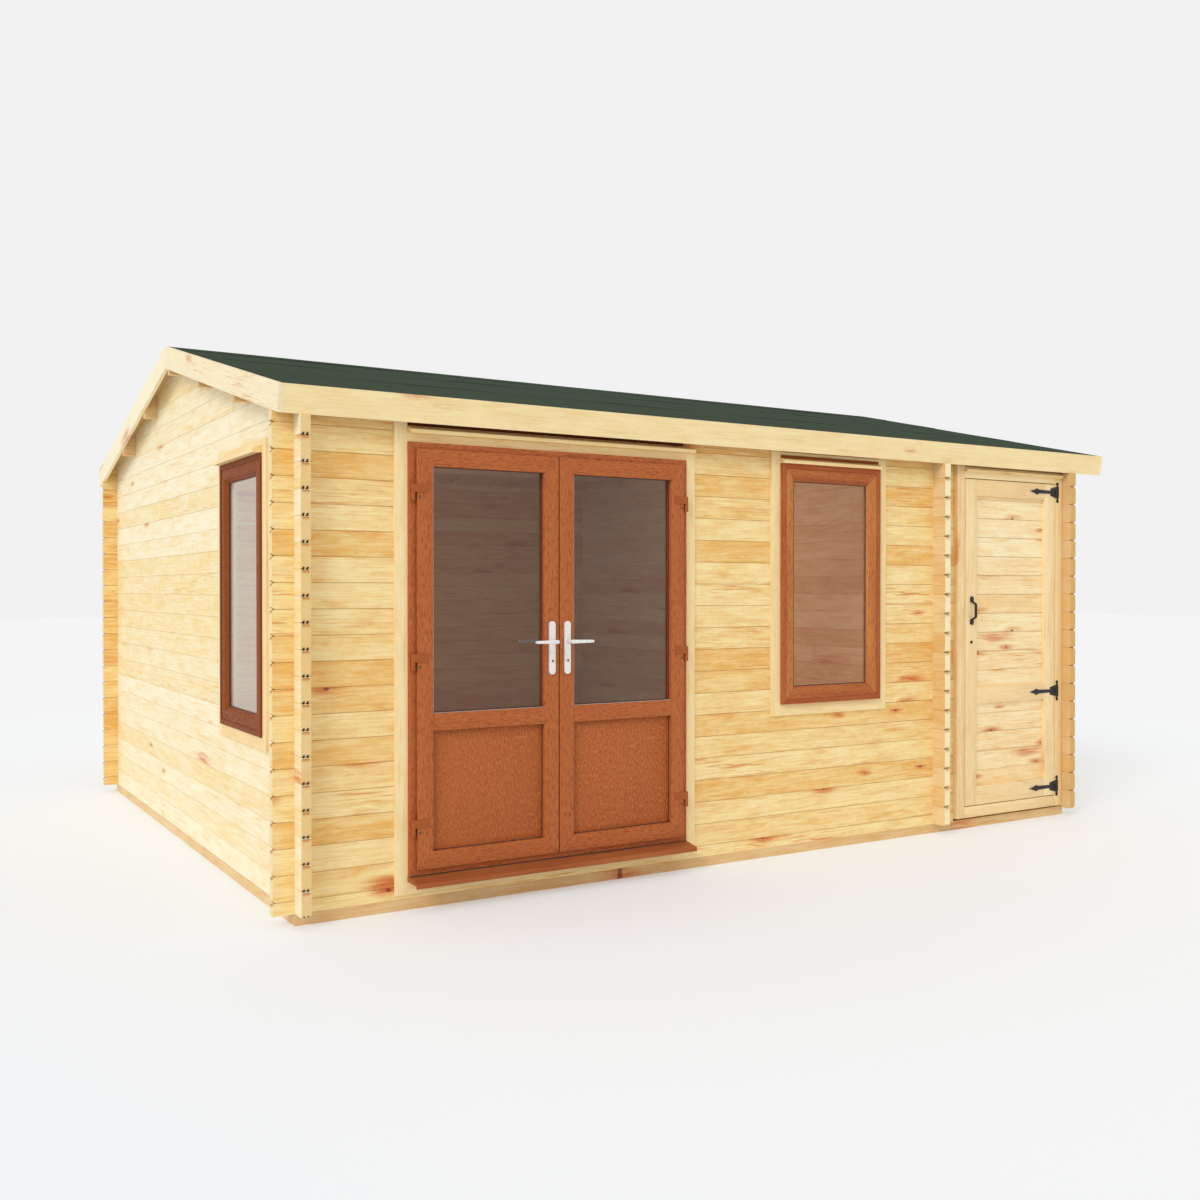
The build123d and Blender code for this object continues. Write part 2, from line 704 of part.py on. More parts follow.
def window_frame(x, z, proud):
    """A window's frame: an outer band, a sash set in behind it, and a sloping bead."""
    y0 = -proud
    y1 = FRAME_DEEP - proud
    sash = y0 + WINDOW_STEP_T
    land = y0 + PANE_BACK - BEAD_LAND
    inset = WINDOW_FACE + BEAD_W
    frame = block(x, x + WINDOW_W, y0, y1, z, z + WINDOW_H)
    frame -= sheet_y(window_hole(x, z, inset), y0 - 1, y1 + 1)
    frame -= sheet_y(window_hole(x, z, WINDOW_STEP), y0 - 1, sash)
    mouth = Pos(0, sash, 0) * (Plane.XZ * window_hole(x, z, WINDOW_FACE))
    throat = Pos(0, land, 0) * (Plane.XZ * window_hole(x, z, inset))
    frame -= loft([mouth, throat])
    return frame - window_glass(x, z, proud, SEAT)


def window_glass(x, z, proud, grow=0):
    """A window's sealed glass unit, or its groove."""
    inset = WINDOW_FACE + BEAD_W - PANE_BITE - grow
    y0 = -proud + PANE_BACK - grow
    return sheet_y(window_hole(x, z, inset), y0, y0 + PANE_T + 2 * grow)


# ---- Trim and drip caps ----

def trim_boards(x0, x1, z0, z1, foot, tops, right_w=TRIM_W):
    """Two uprights beside a frame, with a board under it and one over it, on a front wall."""
    left = block(x0 - TRIM_W, x0 - SEAT, -TRIM_T, 0, foot, tops[0])
    right = block(x1 + SEAT, x1 + right_w, -TRIM_T, 0, foot, tops[1])
    under = block(x0, x1, -TRIM_T, 0, foot, z0 - SEAT)
    over = block(x0, x1, -TRIM_T, 0, z1 + SEAT, z1 + TRIM_W)
    return solids_of(left, right, under, over)


def door_trim():
    """Trim of the double door. Its left upright ends behind the fascia, and its right one under the cap."""
    return trim_boards(DOOR_X, DOOR_X + DOOR_W, DOOR_Z - CILL_T, DOOR_Z + DOOR_H,
                       DOOR_TRIM_Z, (TRIM_UP_Z, DOOR_CAP[2] - SEAT), DOOR_TRIM_W)


def front_window_trim():
    """Trim of the front window, with both uprights ending behind the fascia."""
    x, z = FRONT_WINDOW_X, FRONT_WINDOW_Z
    return trim_boards(x, x + WINDOW_W, z, z + WINDOW_H, z - TRIM_W, (TRIM_UP_Z, TRIM_UP_Z))


def side_window_trim():
    """Trim of the side window, a full frame of boards."""
    y, z = SIDE_WINDOW_Y, SIDE_WINDOW_Z
    top = z + WINDOW_H + TRIM_W
    return on_left_wall(trim_boards(y, y + WINDOW_W, z, z + WINDOW_H, z - TRIM_W, (top, top)))


def cap(x0, x1, z, back, out):
    """A small weathered cap that throws off rain, from its back to its nose."""
    rise = CAP_NOSE_H + (out - back) * CAP_RISE
    return prism_x([(-back, z), (-out, z), (-out, z + CAP_NOSE_H), (-back, z + rise)], x0, x1)


def drip_caps():
    """Caps over the double door, the two windows and the store door."""
    top = FRONT_WINDOW_Z + WINDOW_H + SEAT
    side_top = SIDE_WINDOW_Z + WINDOW_H + SEAT
    front = cap(FRONT_WINDOW_X, FRONT_WINDOW_X + WINDOW_W, top, TRIM_T, CAP_OUT)
    side = cap(SIDE_WINDOW_Y, SIDE_WINDOW_Y + WINDOW_W, side_top, TRIM_T, SIDE_CAP_OUT)
    return solids_of(cap(*DOOR_CAP, TRIM_T, CAP_OUT), front, on_left_wall(side),
                     cap(*STORE_CAP, STORE_FRAME_PROUD, CAP_OUT))


def on_left_wall(shape):
    """Place a piece drawn on a front wall (x along the wall) on the left wall (y along it)."""
    return mirror(Rot(0, 0, 90) * shape, Plane.YZ)


# ---- Store door ----

def store_leaf_box():
    """Edges of the store door's leaf, as (x0, x1, z0, z1)."""
    inset = STORE_FRAME_FACE + STORE_GAP
    return (STORE_FRAME_X + inset, STORE_FRAME_X + STORE_FRAME_W - inset,
            STORE_FRAME_Z + inset, STORE_FRAME_Z + STORE_FRAME_H - inset)


def store_frame():
    """Timber frame of the store door, with a stop behind the leaf."""
    x0 = STORE_FRAME_X
    x1 = x0 + STORE_FRAME_W
    z0 = STORE_FRAME_Z
    z1 = z0 + STORE_FRAME_H
    stop_y = -STORE_FRAME_PROUD + STORE_LEAF_T + STORE_GAP
    front = ring(x0, x1, z0, z1, STORE_FRAME_FACE, -STORE_FRAME_PROUD, stop_y)
    back = ring(x0, x1, z0, z1, STORE_FRAME_FACE + STORE_STOP_W, stop_y, T)
    return front + back + block(x0, x0 + STORE_FRAME_FACE, -STORE_FRAME_PROUD, 0, z1, STORE_POST_Z)


def store_openings():
    """The two openings of the store door's leaf."""
    x0, x1, z0, z1 = store_leaf_box()
    s = STORE_STILE
    mid = z0 + STORE_MID_RAIL_Z
    return ((x0 + s, x1 - s, z0 + STORE_BOTTOM_RAIL, mid - s / 2), (x0 + s, x1 - s, mid + s / 2, z1 - s))


def store_board(x0, x1, z0, z1):
    """One board of the store door, with chamfered front edges."""
    y0 = -STORE_FRAME_PROUD + STORE_RECESS
    v = STORE_BOARD_V
    return prism_x([(y0, z0 + v), (y0, z1 - v), (y0 + v, z1), (y0 + STORE_BOARD_T, z1),
                    (y0 + STORE_BOARD_T, z0), (y0 + v, z0)], x0, x1)


def board_levels(low, high, start):
    """Joints between boards from low to high, one board height apart, with one of them at start."""
    first = start - int((start - low) / STORE_BOARD_H) * STORE_BOARD_H
    count = int((high - first) / STORE_BOARD_H)
    return [low] + [first + k * STORE_BOARD_H for k in range(count + 1)] + [high]


def store_boards():
    """The two fields of boards in the store door."""
    boards = []
    (x0, x1, low, rail_low), (_, _, rail_high, high) = store_openings()
    bite = STORE_BOARD_BITE
    fields = ((low - bite, rail_low + bite, rail_low - STORE_LOW_CUT),
              (rail_high - bite, high + bite, rail_high + STORE_HIGH_CUT))
    for bottom, top, start in fields:
        levels = board_levels(bottom, top, start)
        for z0, z1 in zip(levels, levels[1:]):
            boards.append(store_board(x0 - bite, x1 + bite, z0 + SEAT / 2, z1 - SEAT / 2))
    return solids_of(*boards)


def store_grooves():
    """Grooves in the stiles and rails, where the boards sit."""
    y0 = -STORE_FRAME_PROUD + STORE_RECESS - SEAT
    y1 = y0 + STORE_BOARD_T + 2 * SEAT
    bite = STORE_BOARD_BITE + SEAT
    return [block(a - bite, b + bite, y0, y1, c - bite, d + bite) for a, b, c, d in store_openings()]


def store_leaf():
    """Stiles and rails of the store door."""
    x0, x1, z0, z1 = store_leaf_box()
    y0 = -STORE_FRAME_PROUD
    leaf = block(x0, x1, y0, y0 + STORE_LEAF_T, z0, z1)
    leaf -= [block(a, b, y0 - 1, y0 + STORE_LEAF_T + 1, c, d) for a, b, c, d in store_openings()]
    return leaf - store_grooves()


def tee_heights():
    """Middle height of each T hinge: on the bottom, middle and top rails."""
    x0, x1, z0, z1 = store_leaf_box()
    return (z0 + STORE_BOTTOM_RAIL / 2, z0 + STORE_MID_RAIL_Z, z1 - STORE_STILE / 2)


def tee_pin():
    """Pin of the T hinges, as (x, y)."""
    return (store_leaf_box()[1] + STORE_GAP / 2, -STORE_FRAME_PROUD - TEE_PIN_OUT)


def tee_plates():
    """Upright plate of each T hinge, on the store door's frame, with a rounded lobe at each end."""
    x, y = tee_pin()
    face = -STORE_FRAME_PROUD
    edge = x + TEE_R + BARREL_GAP
    knuckle = TEE_KNUCKLE / 2 + BARREL_GAP
    reach = TEE_H / 2 - TEE_SHOULDER
    outline = Rectangle(TEE_PLATE_W, 2 * TEE_SHOULDER) + Rectangle(LOBE_W / 2, TEE_H - LOBE_W)
    for end in (-1, 1):
        outline += Pos(0, end * (TEE_H / 2 - reach * 0.4)) * Ellipse(LOBE_W / 2, reach * 0.4)
    plates = []
    for z in tee_heights():
        plate = sheet_y(Pos(edge + TEE_PLATE_W / 2, z) * outline, face - TEE_T, face)
        for low, high in ((z - TEE_SHOULDER, z - knuckle), (z + knuckle, z + TEE_SHOULDER)):
            plate += block(x, edge + 1, face - TEE_T, face, low, high)
            plate += round_z(x, y, TEE_R, low, high)
        plates.append(plate)
    return solids_of(*plates)


def strap_half(x, z, side):
    """Half the outline of a strap: two steps, a waisted neck and a spear."""
    steps = ((0, 14.5), (8, 14.5), (8, 31), (25, 31), (25, 25), (48, 25), (48, 9.5), (150, 11.5),
             (162, 13), (177, 19.5), (196, 12), (215, 6.5), (238, 1))
    return [(x - along, z + side * half) for along, half in steps]


def tee_straps():
    """Strap of each T hinge, on the store door's leaf."""
    x, y = tee_pin()
    face = -STORE_FRAME_PROUD
    straps = []
    for z in tee_heights():
        outline = strap_half(x, z, 1) + strap_half(x, z, -1)[::-1]
        strap = prism_y(outline, face - TEE_T, face)
        strap += round_z(x, y, TEE_R, z - TEE_KNUCKLE / 2, z + TEE_KNUCKLE / 2)
        straps.append(strap)
    return solids_of(*straps)


def store_pull():
    """Bow handle of the store door with its two pads, and the plate round its keyhole."""
    x0, x1, z0, z1 = store_leaf_box()
    x = x0 + STORE_STILE / 2
    face = -STORE_FRAME_PROUD
    z = z0 + PULL_Z
    pad = PULL_H / 2 - PULL_PAD_H / 2
    crank = PULL_H / 2 - PULL_PAD_H * 0.8
    near = face - PULL_T / 2
    path = FilletPolyline((x, near, z - pad), (x, near, z - crank), (x, face - PULL_OUT, z - PULL_BOW / 2),
                          (x, face - PULL_OUT, z + PULL_BOW / 2), (x, near, z + crank), (x, near, z + pad),
                          radius=PULL_T)
    pull = sweep(Plane(origin=(x, near, z - pad), z_dir=(0, 0, 1)) * Rectangle(PULL_W, PULL_T), path)
    for end in (-pad, pad):
        round_end = SlotOverall(PULL_PAD_H, PULL_PAD_W, rotation=90)
        pull += sheet_y(Pos(x, z + end) * round_end, face - PULL_T, face)
    plate = round_y(x, z - KEYHOLE_DOWN, KEYHOLE_R, face - TEE_T, face)
    return solids_of(pull, plate)


def build():
    """Every sub-part, by the name of its file."""
    parts = {"base_bearers": bearers(), "floors": floors()}
    side_hole = (SIDE_WINDOW_Y - SEAT, SIDE_WINDOW_Y + WINDOW_W + SEAT,
                 SIDE_WINDOW_Z - SEAT, SIDE_WINDOW_Z + WINDOW_H + SEAT)
    parts["left_wall"] = side_wall(0, side_hole)
    parts["cross_wall"] = side_wall(CROSS_X)
    parts["right_wall"] = side_wall(RIGHT_X)
    parts["left_gable"] = gable(0)
    parts["cross_gable"] = gable(CROSS_X)
    parts["right_gable"] = gable(RIGHT_X)
    parts["back_wall"] = back_wall()
    parts["front_wall_left"] = front_left()
    parts["front_wall_under_door"] = front_under_door()
    parts["front_wall_over_door"] = front_over_door()
    parts["front_wall_middle"] = front_middle()
    parts["front_wall_over_store"] = front_over_store()
    parts["front_wall_right"] = front_right()
    parts["purlins"] = purlins()
    parts["roof_boards"] = roof_boards()
    parts["roof_felt"] = roof_felt()
    parts["front_fascia"], parts["back_fascia"] = fascias()
    parts["left_bargeboards"] = bargeboards(ROOF_X0)
    parts["right_bargeboards"] = bargeboards(ROOF_X1 - FASCIA_T)

    parts["door_frame"] = door_frame()
    parts["door_cill"] = door_cill()
    glass, panel = leaf_openings()
    left = {"leaf": left_leaf(), "glass": pane(glass), "panel": pane(panel), "plates": left_plates(),
            "levers": left_levers(), "hinges": left_leaf_hinges()}
    for name, shape in left.items():
        parts["left_door_" + name] = shape
        parts["right_door_" + name] = to_right(shape)
    frame_hinges = left_frame_hinges()
    parts["door_frame_hinges"] = solids_of(frame_hinges, to_right(frame_hinges))

    front = (FRONT_WINDOW_X, FRONT_WINDOW_Z, FRAME_PROUD)
    side = (SIDE_WINDOW_Y, SIDE_WINDOW_Z, SIDE_FRAME_PROUD)
    parts["front_window_frame"] = window_frame(*front)
    parts["front_window_glass"] = window_glass(*front)
    parts["side_window_frame"] = on_left_wall(window_frame(*side))
    parts["side_window_glass"] = on_left_wall(window_glass(*side))

    parts["door_trim"] = door_trim()
    parts["front_window_trim"] = front_window_trim()
    parts["side_window_trim"] = side_window_trim()
    parts["drip_caps"] = drip_caps()

    parts["store_door_frame"] = store_frame()
    parts["store_door_leaf"] = store_leaf()
    parts["store_door_boards"] = store_boards()
    parts["store_door_hinge_plates"] = tee_plates()
    parts["store_door_hinge_straps"] = tee_straps()
    parts["store_door_pull"] = store_pull()
    return parts


if __name__ == "__main__":
    os.makedirs("parts", exist_ok=True)
    for name, shape in build().items():
        export_step(Pos(-CENTRE_X, -CENTRE_Y, 0) * shape, "parts/" + name + ".step")
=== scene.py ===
# %% [markdown]
# # A log cabin with a double door and a store room
# The cabin is a kit of interlocking pine logs on bearers, with a felted roof, a foil-faced double
# door, two windows and a plank door to the store. Its real sizes, joints and walls come from the
# frame, which is loaded first and never changed. Blender adds what the eye sees: the figure of
# the wood, the film on the door, glass, felt, iron, and the small boards and fastenings.

# %% Load the frame
import math
import random

import bmesh
import bpy
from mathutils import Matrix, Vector


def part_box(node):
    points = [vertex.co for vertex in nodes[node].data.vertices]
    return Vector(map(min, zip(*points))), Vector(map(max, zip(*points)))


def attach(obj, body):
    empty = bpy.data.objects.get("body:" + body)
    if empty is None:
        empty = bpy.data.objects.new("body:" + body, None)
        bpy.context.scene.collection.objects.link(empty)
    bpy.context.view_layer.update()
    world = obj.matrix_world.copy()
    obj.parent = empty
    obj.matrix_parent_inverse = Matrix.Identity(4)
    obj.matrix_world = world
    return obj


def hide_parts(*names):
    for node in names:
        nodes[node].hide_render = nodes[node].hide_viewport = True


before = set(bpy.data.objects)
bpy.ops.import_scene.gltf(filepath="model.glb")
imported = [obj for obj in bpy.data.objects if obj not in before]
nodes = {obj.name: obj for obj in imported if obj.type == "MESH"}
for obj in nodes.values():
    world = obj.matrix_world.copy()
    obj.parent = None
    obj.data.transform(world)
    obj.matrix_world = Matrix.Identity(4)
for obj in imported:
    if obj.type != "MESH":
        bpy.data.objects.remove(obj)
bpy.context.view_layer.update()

# %% [markdown]
# ## Shader helpers
# A material is a graph of small nodes. Writing each node out takes many lines, so a helper places
# one node, fills its visible sockets in order, and hands back its first output. What is passed in
# may be a plain number or another node's output, and the helper joins the two up.

# %% Place and join shader nodes
def paint(code):
    """Linear colour for a hex code, as a paint chart gives it."""
    parts = [int(code[i:i + 2], 16) / 255 for i in (0, 2, 4)]
    return tuple(c / 12.92 if c <= 0.04045 else ((c + 0.055) / 1.055) ** 2.4 for c in parts) + (1.0,)


def put(tree, kind, *values, **settings):
    """One shader node with its visible sockets filled in order. Returns its first output."""
    node = tree.nodes.new("ShaderNode" + kind)
    for key, value in settings.items():
        setattr(node, key, value)
    sockets = [s for s in node.inputs if s.enabled]
    for socket, value in zip(sockets, values):
        if isinstance(value, bpy.types.NodeSocket):
            tree.links.new(value, socket)
        elif value is not None:
            socket.default_value = value
    outputs = [s for s in node.outputs if s.enabled]
    return outputs[0] if outputs else node


def other(output, name):
    """Another output of the node that gave this one."""
    return output.node.outputs[name]


print("one node at a time")

# %% Sums and masks
def calc(tree, operation, *values, clamp=False):
    """A Math node."""
    return put(tree, "Math", *values, operation=operation, use_clamp=clamp)


def plus(tree, a, b, *more, clamp=False):
    """Add values up."""
    if more:
        return plus(tree, plus(tree, a, b), *more, clamp=clamp)
    return calc(tree, "ADD", a, b, clamp=clamp)


def minus(tree, a, b):
    """Take one value from another."""
    return calc(tree, "SUBTRACT", a, b)


def times(tree, a, b, *more):
    """Multiply values together."""
    product = calc(tree, "MULTIPLY", a, b)
    return times(tree, product, *more) if more else product


def blend(tree, factor, a, b):
    """Mix two colours."""
    return put(tree, "Mix", factor, a, b, data_type="RGBA")


def span(tree, value, low, high, to_low=0.0, to_high=1.0):
    """Smoothly remap a value from one range to another."""
    return put(tree, "MapRange", value, low, high, to_low, to_high, interpolation_type="SMOOTHSTEP")


def fade(tree, value, near, far):
    """One up to the near value, and nothing from the far value on."""
    return span(tree, value, near, far, 1.0, 0.0)


print("sums and masks ready")

# %% Noise, positions and links
def stretch(tree, vector, x, y, z):
    """Scale a position, one factor for each axis."""
    return put(tree, "VectorMath", vector, (x, y, z), operation="MULTIPLY")


def cloud(tree, vector, scale=1.0, detail=3.0):
    """Soft noise between 0 and 1."""
    return put(tree, "TexNoise", vector, scale, detail)


def streaks(tree, where, along, across, detail=2.0):
    """Noise drawn out along the grain, with so many cells to the metre along and across it."""
    return cloud(tree, stretch(tree, where, along, across, across), 1.0, detail)


def here(tree):
    """Where the surface is, in metres."""
    return other(put(tree, "TexCoord"), "Object")


def mark(tree, name, kind="Fac"):
    """What the mesh carries under a name."""
    return other(put(tree, "Attribute", attribute_name=name), kind)


def feed(tree, node, **values):
    """Join outputs to the named inputs of a node."""
    for label, value in values.items():
        tree.links.new(value, node.inputs[label.replace("_", " ")])


print("noise and links ready")

# %% Groups and materials
def group(name, inputs, outputs):
    """An empty node group with named sockets. Returns the tree, its inputs and its output node."""
    tree = bpy.data.node_groups.new(name, "ShaderNodeTree")
    for label, kind, value in inputs:
        socket = tree.interface.new_socket(label, in_out="INPUT", socket_type="NodeSocket" + kind)
        if value is not None:
            socket.default_value = value
    for label, kind in outputs:
        tree.interface.new_socket(label, in_out="OUTPUT", socket_type="NodeSocket" + kind)
    ports = tree.nodes.new("NodeGroupInput").outputs
    return tree, ports, tree.nodes.new("NodeGroupOutput")


def place(tree, made, values):
    """A node group inside a material. Returns its first output."""
    node = tree.nodes.new("ShaderNodeGroup")
    node.node_tree = made
    for socket, value in zip(node.inputs, values):
        if isinstance(value, bpy.types.NodeSocket):
            tree.links.new(value, socket)
        elif value is not None:
            socket.default_value = value
    return node.outputs[0]


def finish_material(name, **plain):
    """A material with one Principled shader. Returns the material, its tree and the shader."""
    material = bpy.data.materials.new(name)
    material.use_nodes = True
    shader = material.node_tree.nodes["Principled BSDF"]
    for label, value in plain.items():
        shader.inputs[label.replace("_", " ")].default_value = value
    return material, material.node_tree, shader


def relief(tree, shader, height, distance, strength=1.0):
    """Fine relief from a height, in metres."""
    feed(tree, shader, Normal=put(tree, "Bump", strength, distance, None, height))


print("shader helpers ready")

# %% [markdown]
# ## Pine
# A log is a slice of a tree, so its figure is best drawn in the solid: growth rings round a heart
# that lies outside the board. Sawn faces then show long flames, and end faces show arcs, with no
# seam between them. The position goes in as (along, across, depth) in metres, and every board has
# a number that moves it to another part of the tree. Knots are cells of a Voronoi pattern. Each
# has a flame of resin along the grain, some have a dark heart with a ragged edge, and the rings
# are drawn in towards it, which makes the grain flow round it.

# %% Knots and rings
RING = 0.0068            # spacing of the growth rings that show
KNOT_CELL = (2.3, 8.1)   # knot cells to the metre, along and across
KNOT_SMALL, KNOT_LARGE = 0.006, 0.021
NO_KNOT = 0.000001       # the size of a knot in a cell that has none


def knots(tree, spot, streak, share):
    """Knots on a board. Returns the offset from the nearest one, its pull, flame and dark heart."""
    flat = stretch(tree, spot, *KNOT_CELL, 0.0)
    cell = put(tree, "TexVoronoi", flat, 1.0, 0.0, 0.5, 2.0, 0.85, voronoi_dimensions="2D")
    away = put(tree, "VectorMath", flat, other(cell, "Position"), operation="SUBTRACT")
    away = stretch(tree, away, 1 / KNOT_CELL[0], 1 / KNOT_CELL[1], 0.0)
    dice = put(tree, "SeparateColor", other(cell, "Color"))
    present = calc(tree, "LESS_THAN", dice, share)
    grade = calc(tree, "POWER", other(dice, "Green"), 2.0)
    size = calc(tree, "MULTIPLY_ADD", grade, KNOT_LARGE - KNOT_SMALL, KNOT_SMALL)
    size = calc(tree, "MAXIMUM", times(tree, present, size), NO_KNOT)

    def reach(along_share, ragged):
        """Distance from the knot, in knot sizes, with a ragged edge."""
        long = put(tree, "VectorMath", stretch(tree, away, along_share, 1.0, 0.0), operation="LENGTH")
        ratio = calc(tree, "DIVIDE", other(long, "Value"), size)
        edge = cloud(tree, stretch(tree, spot, 130.0, 190.0, 0.0), 1.0, 2.0)
        return plus(tree, ratio, calc(tree, "MULTIPLY_ADD", edge, 2.0 * ragged, -ragged))

    core = fade(tree, reach(0.7, 0.9), 0.55, 1.25)
    core = times(tree, core, span(tree, other(dice, "Blue"), 0.4, 0.6))
    flame = fade(tree, reach(0.3, 0.9), 0.6, 4.2)
    flame = times(tree, flame, span(tree, streak, 0.36, 0.6, 0.4, 1.0))
    pull = span(tree, reach(0.7, 0.0), 0.5, 7.0, 0.85, 0.0)
    return away, pull, flame, core


def rings(tree, bent, luck):
    """Late wood, from the distance to a heart that lies outside the board."""
    wander = streaks(tree, bent, 1.3, 9.0)
    parts = put(tree, "SeparateXYZ", bent)
    dy = minus(tree, other(parts, "Y"), calc(tree, "MULTIPLY_ADD", other(luck, "Green"), 0.12, -0.06))
    dz = plus(tree, other(parts, "Z"), calc(tree, "MULTIPLY_ADD", other(luck, "Blue"), 0.07, 0.03))
    radius = calc(tree, "SQRT", plus(tree, times(tree, dy, dy), times(tree, dz, dz)))
    radius = plus(tree, radius, times(tree, wander, 0.055))
    return span(tree, calc(tree, "SINE", times(tree, radius, 2 * math.pi / RING)), 0.1, 1.0)


print("knot cells to the metre:", KNOT_CELL)

# %% The pine group
def pine_group():
    """The figure of pine, as one group that every wood shares."""
    tree, ports, end = group(
        "Pine figure",
        [("Grain", "Vector", None), ("Board", "Float", 0.0), ("Knots", "Float", 0.3), ("Tone", "Float", 0.5),
         ("Pale", "Color", paint("f9e2a8")), ("Gold", "Color", paint("e8b160")), ("Warmth", "Float", 1.0)],
        [("Color", "Color"), ("Roughness", "Float"), ("Height", "Float")])
    board = put(tree, "TexWhiteNoise", ports["Board"], noise_dimensions="1D")
    luck = put(tree, "SeparateColor", other(board, "Color"))
    shift = put(tree, "CombineXYZ", times(tree, board, 37.0), 0.0, 0.0)
    spot = put(tree, "VectorMath", ports["Grain"], shift, operation="ADD")
    streak = streaks(tree, spot, 5.0, 56.0, 3.0)
    away, pull, flame, core = knots(tree, spot, streak, ports["Knots"])

    draw = put(tree, "VectorMath", away, operation="SCALE")
    feed(tree, draw.node, Scale=pull)
    bent = put(tree, "VectorMath", spot, stretch(tree, draw, 0.0, 1.0, 0.0), operation="SUBTRACT")
    late = rings(tree, bent, luck)
    patch = streaks(tree, bent, 4.6, 17.0, 2.5)
    fibre = streaks(tree, spot, 9.0, 420.0)

    swings = ((patch, 0.17), (streak, 0.13), (streaks(tree, bent, 3.5, 130.0), 0.14),
              (streaks(tree, spot, 24.0, 80.0), 0.1))
    tone = plus(tree, calc(tree, "MULTIPLY_ADD", board, 0.64, -0.32), ports["Tone"],
                *(span(tree, noise, 0.3, 0.7, -swing, swing) for noise, swing in swings),
                calc(tree, "MULTIPLY_ADD", late, 0.16, -0.06), clamp=True)
    colour = blend(tree, tone, ports["Pale"], ports["Gold"])

    threads = times(tree, span(tree, streaks(tree, bent, 4.5, 140.0), 0.56, 0.66),
                    span(tree, streaks(tree, bent, 1.1, 5.0, 1.0), 0.42, 0.6),
                    span(tree, other(luck, "Blue"), 0.15, 0.75, 0.3, 1.0))
    resin = times(tree, span(tree, patch, 0.58, 0.74), span(tree, late, 0.0, 1.0, 0.15, 0.5))
    flecks = span(tree, streaks(tree, spot, 16.0, 42.0), 0.7, 0.78)
    stains = ((threads, 0.85, "d9863c", 0.0), (resin, 0.75, "de9d4e", 0.0), (flecks, 0.35, "cf8046", 0.0),
              (flame, 0.85, "e39a4c", 0.7), (times(tree, flame, flame), 0.8, "c4561e", 0.6))
    for mask, share, code, least in stains:  # laid on as far as the wood is warm, and no less than least
        warmth = calc(tree, "MAXIMUM", ports["Warmth"], least)
        colour = blend(tree, times(tree, mask, share, warmth), colour, paint(code))
    colour = blend(tree, times(tree, core, 0.9), colour, paint("7c2c10"))

    height = calc(tree, "MULTIPLY_ADD", late, 0.5, times(tree, fibre, 0.4))
    feed(tree, end, Color=colour, Roughness=calc(tree, "MULTIPLY_ADD", fibre, 0.14, 0.5),
         Height=minus(tree, height, times(tree, core, 0.6)))
    return tree


PINE = pine_group()
print("pine group:", len(PINE.nodes), "nodes")

# %% The woods of the cabin
# The side walls and the bargeboards face the lamp, and their woods, side and verge, are paler and less warm
# copies of the front's: painted light.
WOODS = {  # pale colour, gold colour, warmth of the stains
    "front": ("f8e1a3", "e8b35b", 1.0), "side": ("f7edcd", "f1d28a", 0.4), "inner": ("f8ecca", "e4bc7c", 0.5),
    "trim": ("f9e4ae", "eecb88", 0.5), "verge": ("f8edcc", "efdcb0", 0.6), "sawn": ("ecd2a0", "d9ac6c", 0.8),
    "store": ("f6dfac", "ebc487", 0.6), "field": ("fbeabc", "efc27a", 0.9)}


def pine(tree, wood, grain, board, knot_share, tone):
    """The pine group in one of the woods."""
    pale, gold, warmth = WOODS[wood]
    return place(tree, PINE, (grain, board, knot_share, tone, paint(pale), paint(gold), warmth))


print("woods:", ", ".join(WOODS))

# %% [markdown]
# ## Courses
# A wall node holds a whole stack of logs, so the material has to find the single logs again. The
# height above the first joint, divided by the course, gives the log's number, and the distance to
# the nearest joint gives a thin dark line there, painted shade of the groove. The end of a log
# shows two hollows at each joint, beside the tongues, darkened with painted shade, and a band of
# painted shadow lies on the end just under each joint. End grain drinks oil, so it is deeper in
# colour than the face.

# %% The course group
COURSE = 0.114
HOLLOW, HOLLOW_UP = 0.009, 0.003  # each hollow: out from the middle of a log, up from the joint
HOLLOW_TALL, HOLLOW_WIDE = (0.0055, 0.0075), (0.0036, 0.0054)  # where their painted shade fades out from its middle
SHADOW_DOWN, SHADOW_WIDE = (0.006, 0.024), (0.013, 0.021)  # where the painted shadow under it fades out
GROOVE_SHADE = (0.0006, 0.0032)           # where the painted shade of a joint fades out
BASE_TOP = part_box("base_bearers")[1].z
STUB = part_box("front_wall_left")[0].y  # in front of this the side and cross walls are outside


